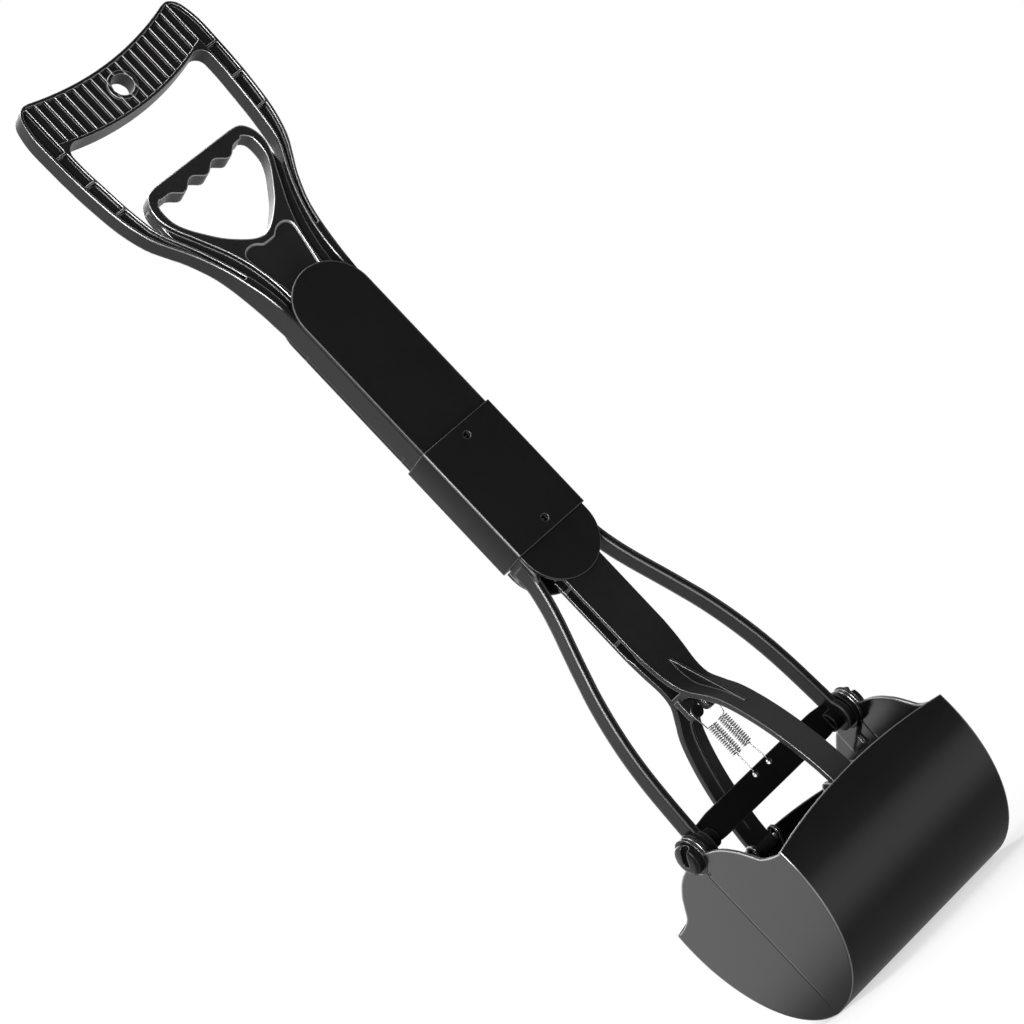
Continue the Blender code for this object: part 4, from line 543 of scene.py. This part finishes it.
slotted_bolt("left_pivot_bolt", -1)
slotted_bolt("right_pivot_bolt", 1)


# Thin washers under the caps, each with a tab at its foot

WASHER_RADIUS = 0.0124
WASHER_THICK = 0.00022
CAP_DEPTH = 0.0050
TAB_LENGTH = 0.0030
TAB_MIDDLE = -0.0013
TAB_HALF_WIDTH = 0.0026
FACING_DOWN = -0.975


def tabbed_washer(name, side):
    deselect()
    inner_face = outer_face(name.replace("washer", "pivot_bolt"), side) - side * CAP_DEPTH
    bpy.ops.mesh.primitive_cylinder_add(
        vertices=72, radius=WASHER_RADIUS, depth=WASHER_THICK,
        location=(inner_face - side * WASHER_THICK, 0, PIVOT_HEIGHT),
        rotation=(0, math.radians(90), 0))
    piece = bpy.context.object
    piece.name = name
    bpy.ops.object.transform_apply(location=True, rotation=True, scale=True)
    bpy.ops.object.mode_set(mode="EDIT")
    bpy.ops.mesh.select_mode(type="FACE")
    bpy.ops.mesh.select_all(action="DESELECT")
    bpy.ops.object.mode_set(mode="OBJECT")
    for face in piece.data.polygons:
        at_tab = abs(face.center.y - TAB_MIDDLE) < TAB_HALF_WIDTH
        face.select = face.normal.z < FACING_DOWN and at_tab
    bpy.ops.object.mode_set(mode="EDIT")
    bpy.ops.mesh.extrude_region_move(TRANSFORM_OT_translate={"value": (0, 0, -TAB_LENGTH)})
    bpy.ops.object.mode_set(mode="OBJECT")
    smooth_by_angle()
    settle(piece, "lower_frame", cap_black)


tabbed_washer("left_washer", -1)
tabbed_washer("right_washer", 1)


# Detent studs, springs and strap

SPRING_STRETCH_TOP = (0, 0, -0.5160)
SPRING_STRETCH_FOOT = (0, 0, -0.5480)


def finer_copy(node, name):
    """A copy with its triangles paired and its curves smoothed."""
    piece = copy_of(node, name)
    bpy.ops.object.mode_set(mode="EDIT")
    bpy.ops.mesh.select_all(action="SELECT")
    bpy.ops.mesh.tris_convert_to_quads()
    bpy.ops.object.mode_set(mode="OBJECT")
    step = piece.modifiers.new("finer", "SUBSURF")
    step.levels = 1
    step.render_levels = 1
    bpy.ops.object.modifier_apply(modifier=step.name)
    bpy.ops.object.shade_smooth()
    return piece


for node in ("upper_detent_stud", "lower_detent_stud"):
    piece = finer_copy(node, node + "_dome")
    settle(piece, BODY_OF[node], stud_steel)
    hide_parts(node)

for node in ("left_spring", "right_spring"):
    piece = finer_copy(node, node + "_wire")
    piece.data.materials.clear()
    piece.data.materials.append(spring_steel)
    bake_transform(piece, "slider", "lower_frame", start=SPRING_STRETCH_TOP, end=SPRING_STRETCH_FOOT)
    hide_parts(node)

strap = copy_of("pull_strap", "pull_strap_tape")
smooth_by_angle()
settle(strap, "trigger", tape)
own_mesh(strap)
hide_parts("pull_strap")

# The pins, rivets and screws stay as the CAD has them, in steel

for node, cad in frame["nodes"].items():
    if not cad.hide_render:
        cad.data.materials.clear()
        cad.data.materials.append(steel)


# Studio: floor, world, softboxes and camera

FLOOR_SIZE = 14
FLOOR_GAP = 0.0006

# The camera, found from the photograph's edges: sensor in millimetres, focal length in pixels
SENSOR_WIDTH = 36
FOCAL_PIXELS = 4065.84
FRAME_PIXELS = 1024
CAMERA_AZIMUTH = math.radians(29.09)
CAMERA_ELEVATION = math.radians(-3.74)
CAMERA_ROLL = math.radians(-43.35)
CAMERA_TARGET_ACROSS = -0.00313
CAMERA_TARGET_HEIGHT = -0.34751
CAMERA_DISTANCE = 2.42517

# Place, aim, size and power of each softbox
SOFTBOXES = {
    "left_softbox": ((-2.14, -2.38, -0.10), (0, 0, -0.33), (1.15, 2.80), 118),
    "right_softbox": ((0.55, 2.1, 0.3), (0, 0, -0.35), (1.0, 1.6), 16),
    "top_softbox": ((-0.2, -0.3, 1.8), (0, 0, -0.3), (1.6, 1.4), 34),
}


def make_floor():
    """A pale floor that keeps the scooper's shadow and turns white with distance.

    In gloss the floor glows: white behind the scooper, with one pale band just ahead of the jaws as a
    painted reflection."""
    deselect()
    foot = CAD_BOX[0][2]
    bpy.ops.mesh.primitive_plane_add(size=FLOOR_SIZE, location=(0, 0, foot - FLOOR_GAP))
    floor = bpy.context.object
    floor.name = "floor"
    finish = Finish("pale_floor")
    finish.set(Base_Color=grey(0.86), Roughness=0.9)
    where = finish.place()
    reach = finish.node("VectorMath", {"operation": "LENGTH"}, {0: where}, output="Value")
    whitened = finish.range(reach, 0.25, 1.1, 0.62, 1)
    depth = finish.parts(where)[1]
    # Painted reflection: the glowing band ahead of the jaws, seen only in their gloss.
    ahead = finish.range(depth, -0.36, -0.16, 0.15, 0.70)
    close = finish.range(depth, -0.115, -0.075, 0.70, 0.20)
    behind = finish.range(depth, 0.05, 0.50, 0, 1)
    camera_ray = finish.light_path("Is Camera Ray")
    pale = ahead.maths("MINIMUM", close).maths("MAXIMUM", behind).maths("MAXIMUM", camera_ray)
    glow = finish.node("Emission", inputs={"Color": finish.blend(pale, grey(0), grey(1)),
                                           "Strength": 1})
    glowing = whitened * camera_ray + finish.light_path("Is Glossy Ray")
    plain = Value(finish.tree, finish.shader.outputs[0])
    surface = finish.tree.nodes["Material Output"].inputs["Surface"]
    feed(finish.tree, surface, finish.mixed(glowing, plain, glow))
    floor.data.materials.append(finish.material)


def make_world():
    """White for the camera; for the light it is bright behind, dark ahead and at the right."""
    world = bpy.data.worlds.new("studio")
    bpy.context.scene.world = world
    world.use_nodes = True
    sky = Nodes(world.node_tree)
    sky.tree.nodes.clear()
    out = sky.tree.nodes.new("ShaderNodeOutputWorld")
    across, depth = sky.parts(sky.node("TexCoord", output="Generated"))[:2]
    strength = (sky.range(depth, -0.30, 0.70, 0.10, 1.32, "SMOOTHSTEP")
                * sky.range(across, 0.50, 0.85, 1.0, 0.14, "SMOOTHSTEP"))
    lit = sky.node("Background", inputs={"Color": grey(1), "Strength": strength})
    seen = sky.node("Background", inputs={"Color": grey(1)})
    feed(sky.tree, out.inputs["Surface"], sky.mixed(sky.light_path("Is Camera Ray"), lit, seen))


def add_softbox(name, place, aim, size, power):
    light = bpy.data.lights.new(name, "AREA")
    light.shape = "RECTANGLE"
    light.size, light.size_y = size
    light.energy = power
    lamp = bpy.data.objects.new(name, light)
    bpy.context.scene.collection.objects.link(lamp)
    lamp.location = place
    direction = Vector(aim) - Vector(place)
    lamp.rotation_euler = direction.to_track_quat("-Z", "Y").to_euler()


def make_camera():
    """The photograph's camera: turned round the scooper, a little below it, and rolled."""
    sin_turn, cos_turn = math.sin(CAMERA_AZIMUTH), math.cos(CAMERA_AZIMUTH)
    sin_rise, cos_rise = math.sin(CAMERA_ELEVATION), math.cos(CAMERA_ELEVATION)
    sin_roll, cos_roll = math.sin(CAMERA_ROLL), math.cos(CAMERA_ROLL)
    toward = Vector((-sin_turn * cos_rise, -cos_turn * cos_rise, sin_rise))
    right = Vector((cos_turn, -sin_turn, 0))
    up = toward.cross(right)
    rolled_right = cos_roll * right + sin_roll * up
    rolled_up = -sin_roll * right + cos_roll * up
    target = Vector((CAMERA_TARGET_ACROSS * cos_turn, -CAMERA_TARGET_ACROSS * sin_turn,
                     CAMERA_TARGET_HEIGHT))
    place = target + toward * CAMERA_DISTANCE
    data = bpy.data.cameras.new("camera")
    data.sensor_width = SENSOR_WIDTH
    data.lens = SENSOR_WIDTH * FOCAL_PIXELS / FRAME_PIXELS
    camera = bpy.data.objects.new("camera", data)
    bpy.context.scene.collection.objects.link(camera)
    turn = Matrix((rolled_right, rolled_up, toward)).transposed().to_4x4()
    camera.matrix_world = Matrix.Translation(place) @ turn
    bpy.context.scene.camera = camera


make_floor()
make_world()
make_camera()
for name, (place, aim, size, power) in SOFTBOXES.items():
    add_softbox(name, place, aim, size, power)
bpy.context.scene.view_settings.view_transform = "Standard"
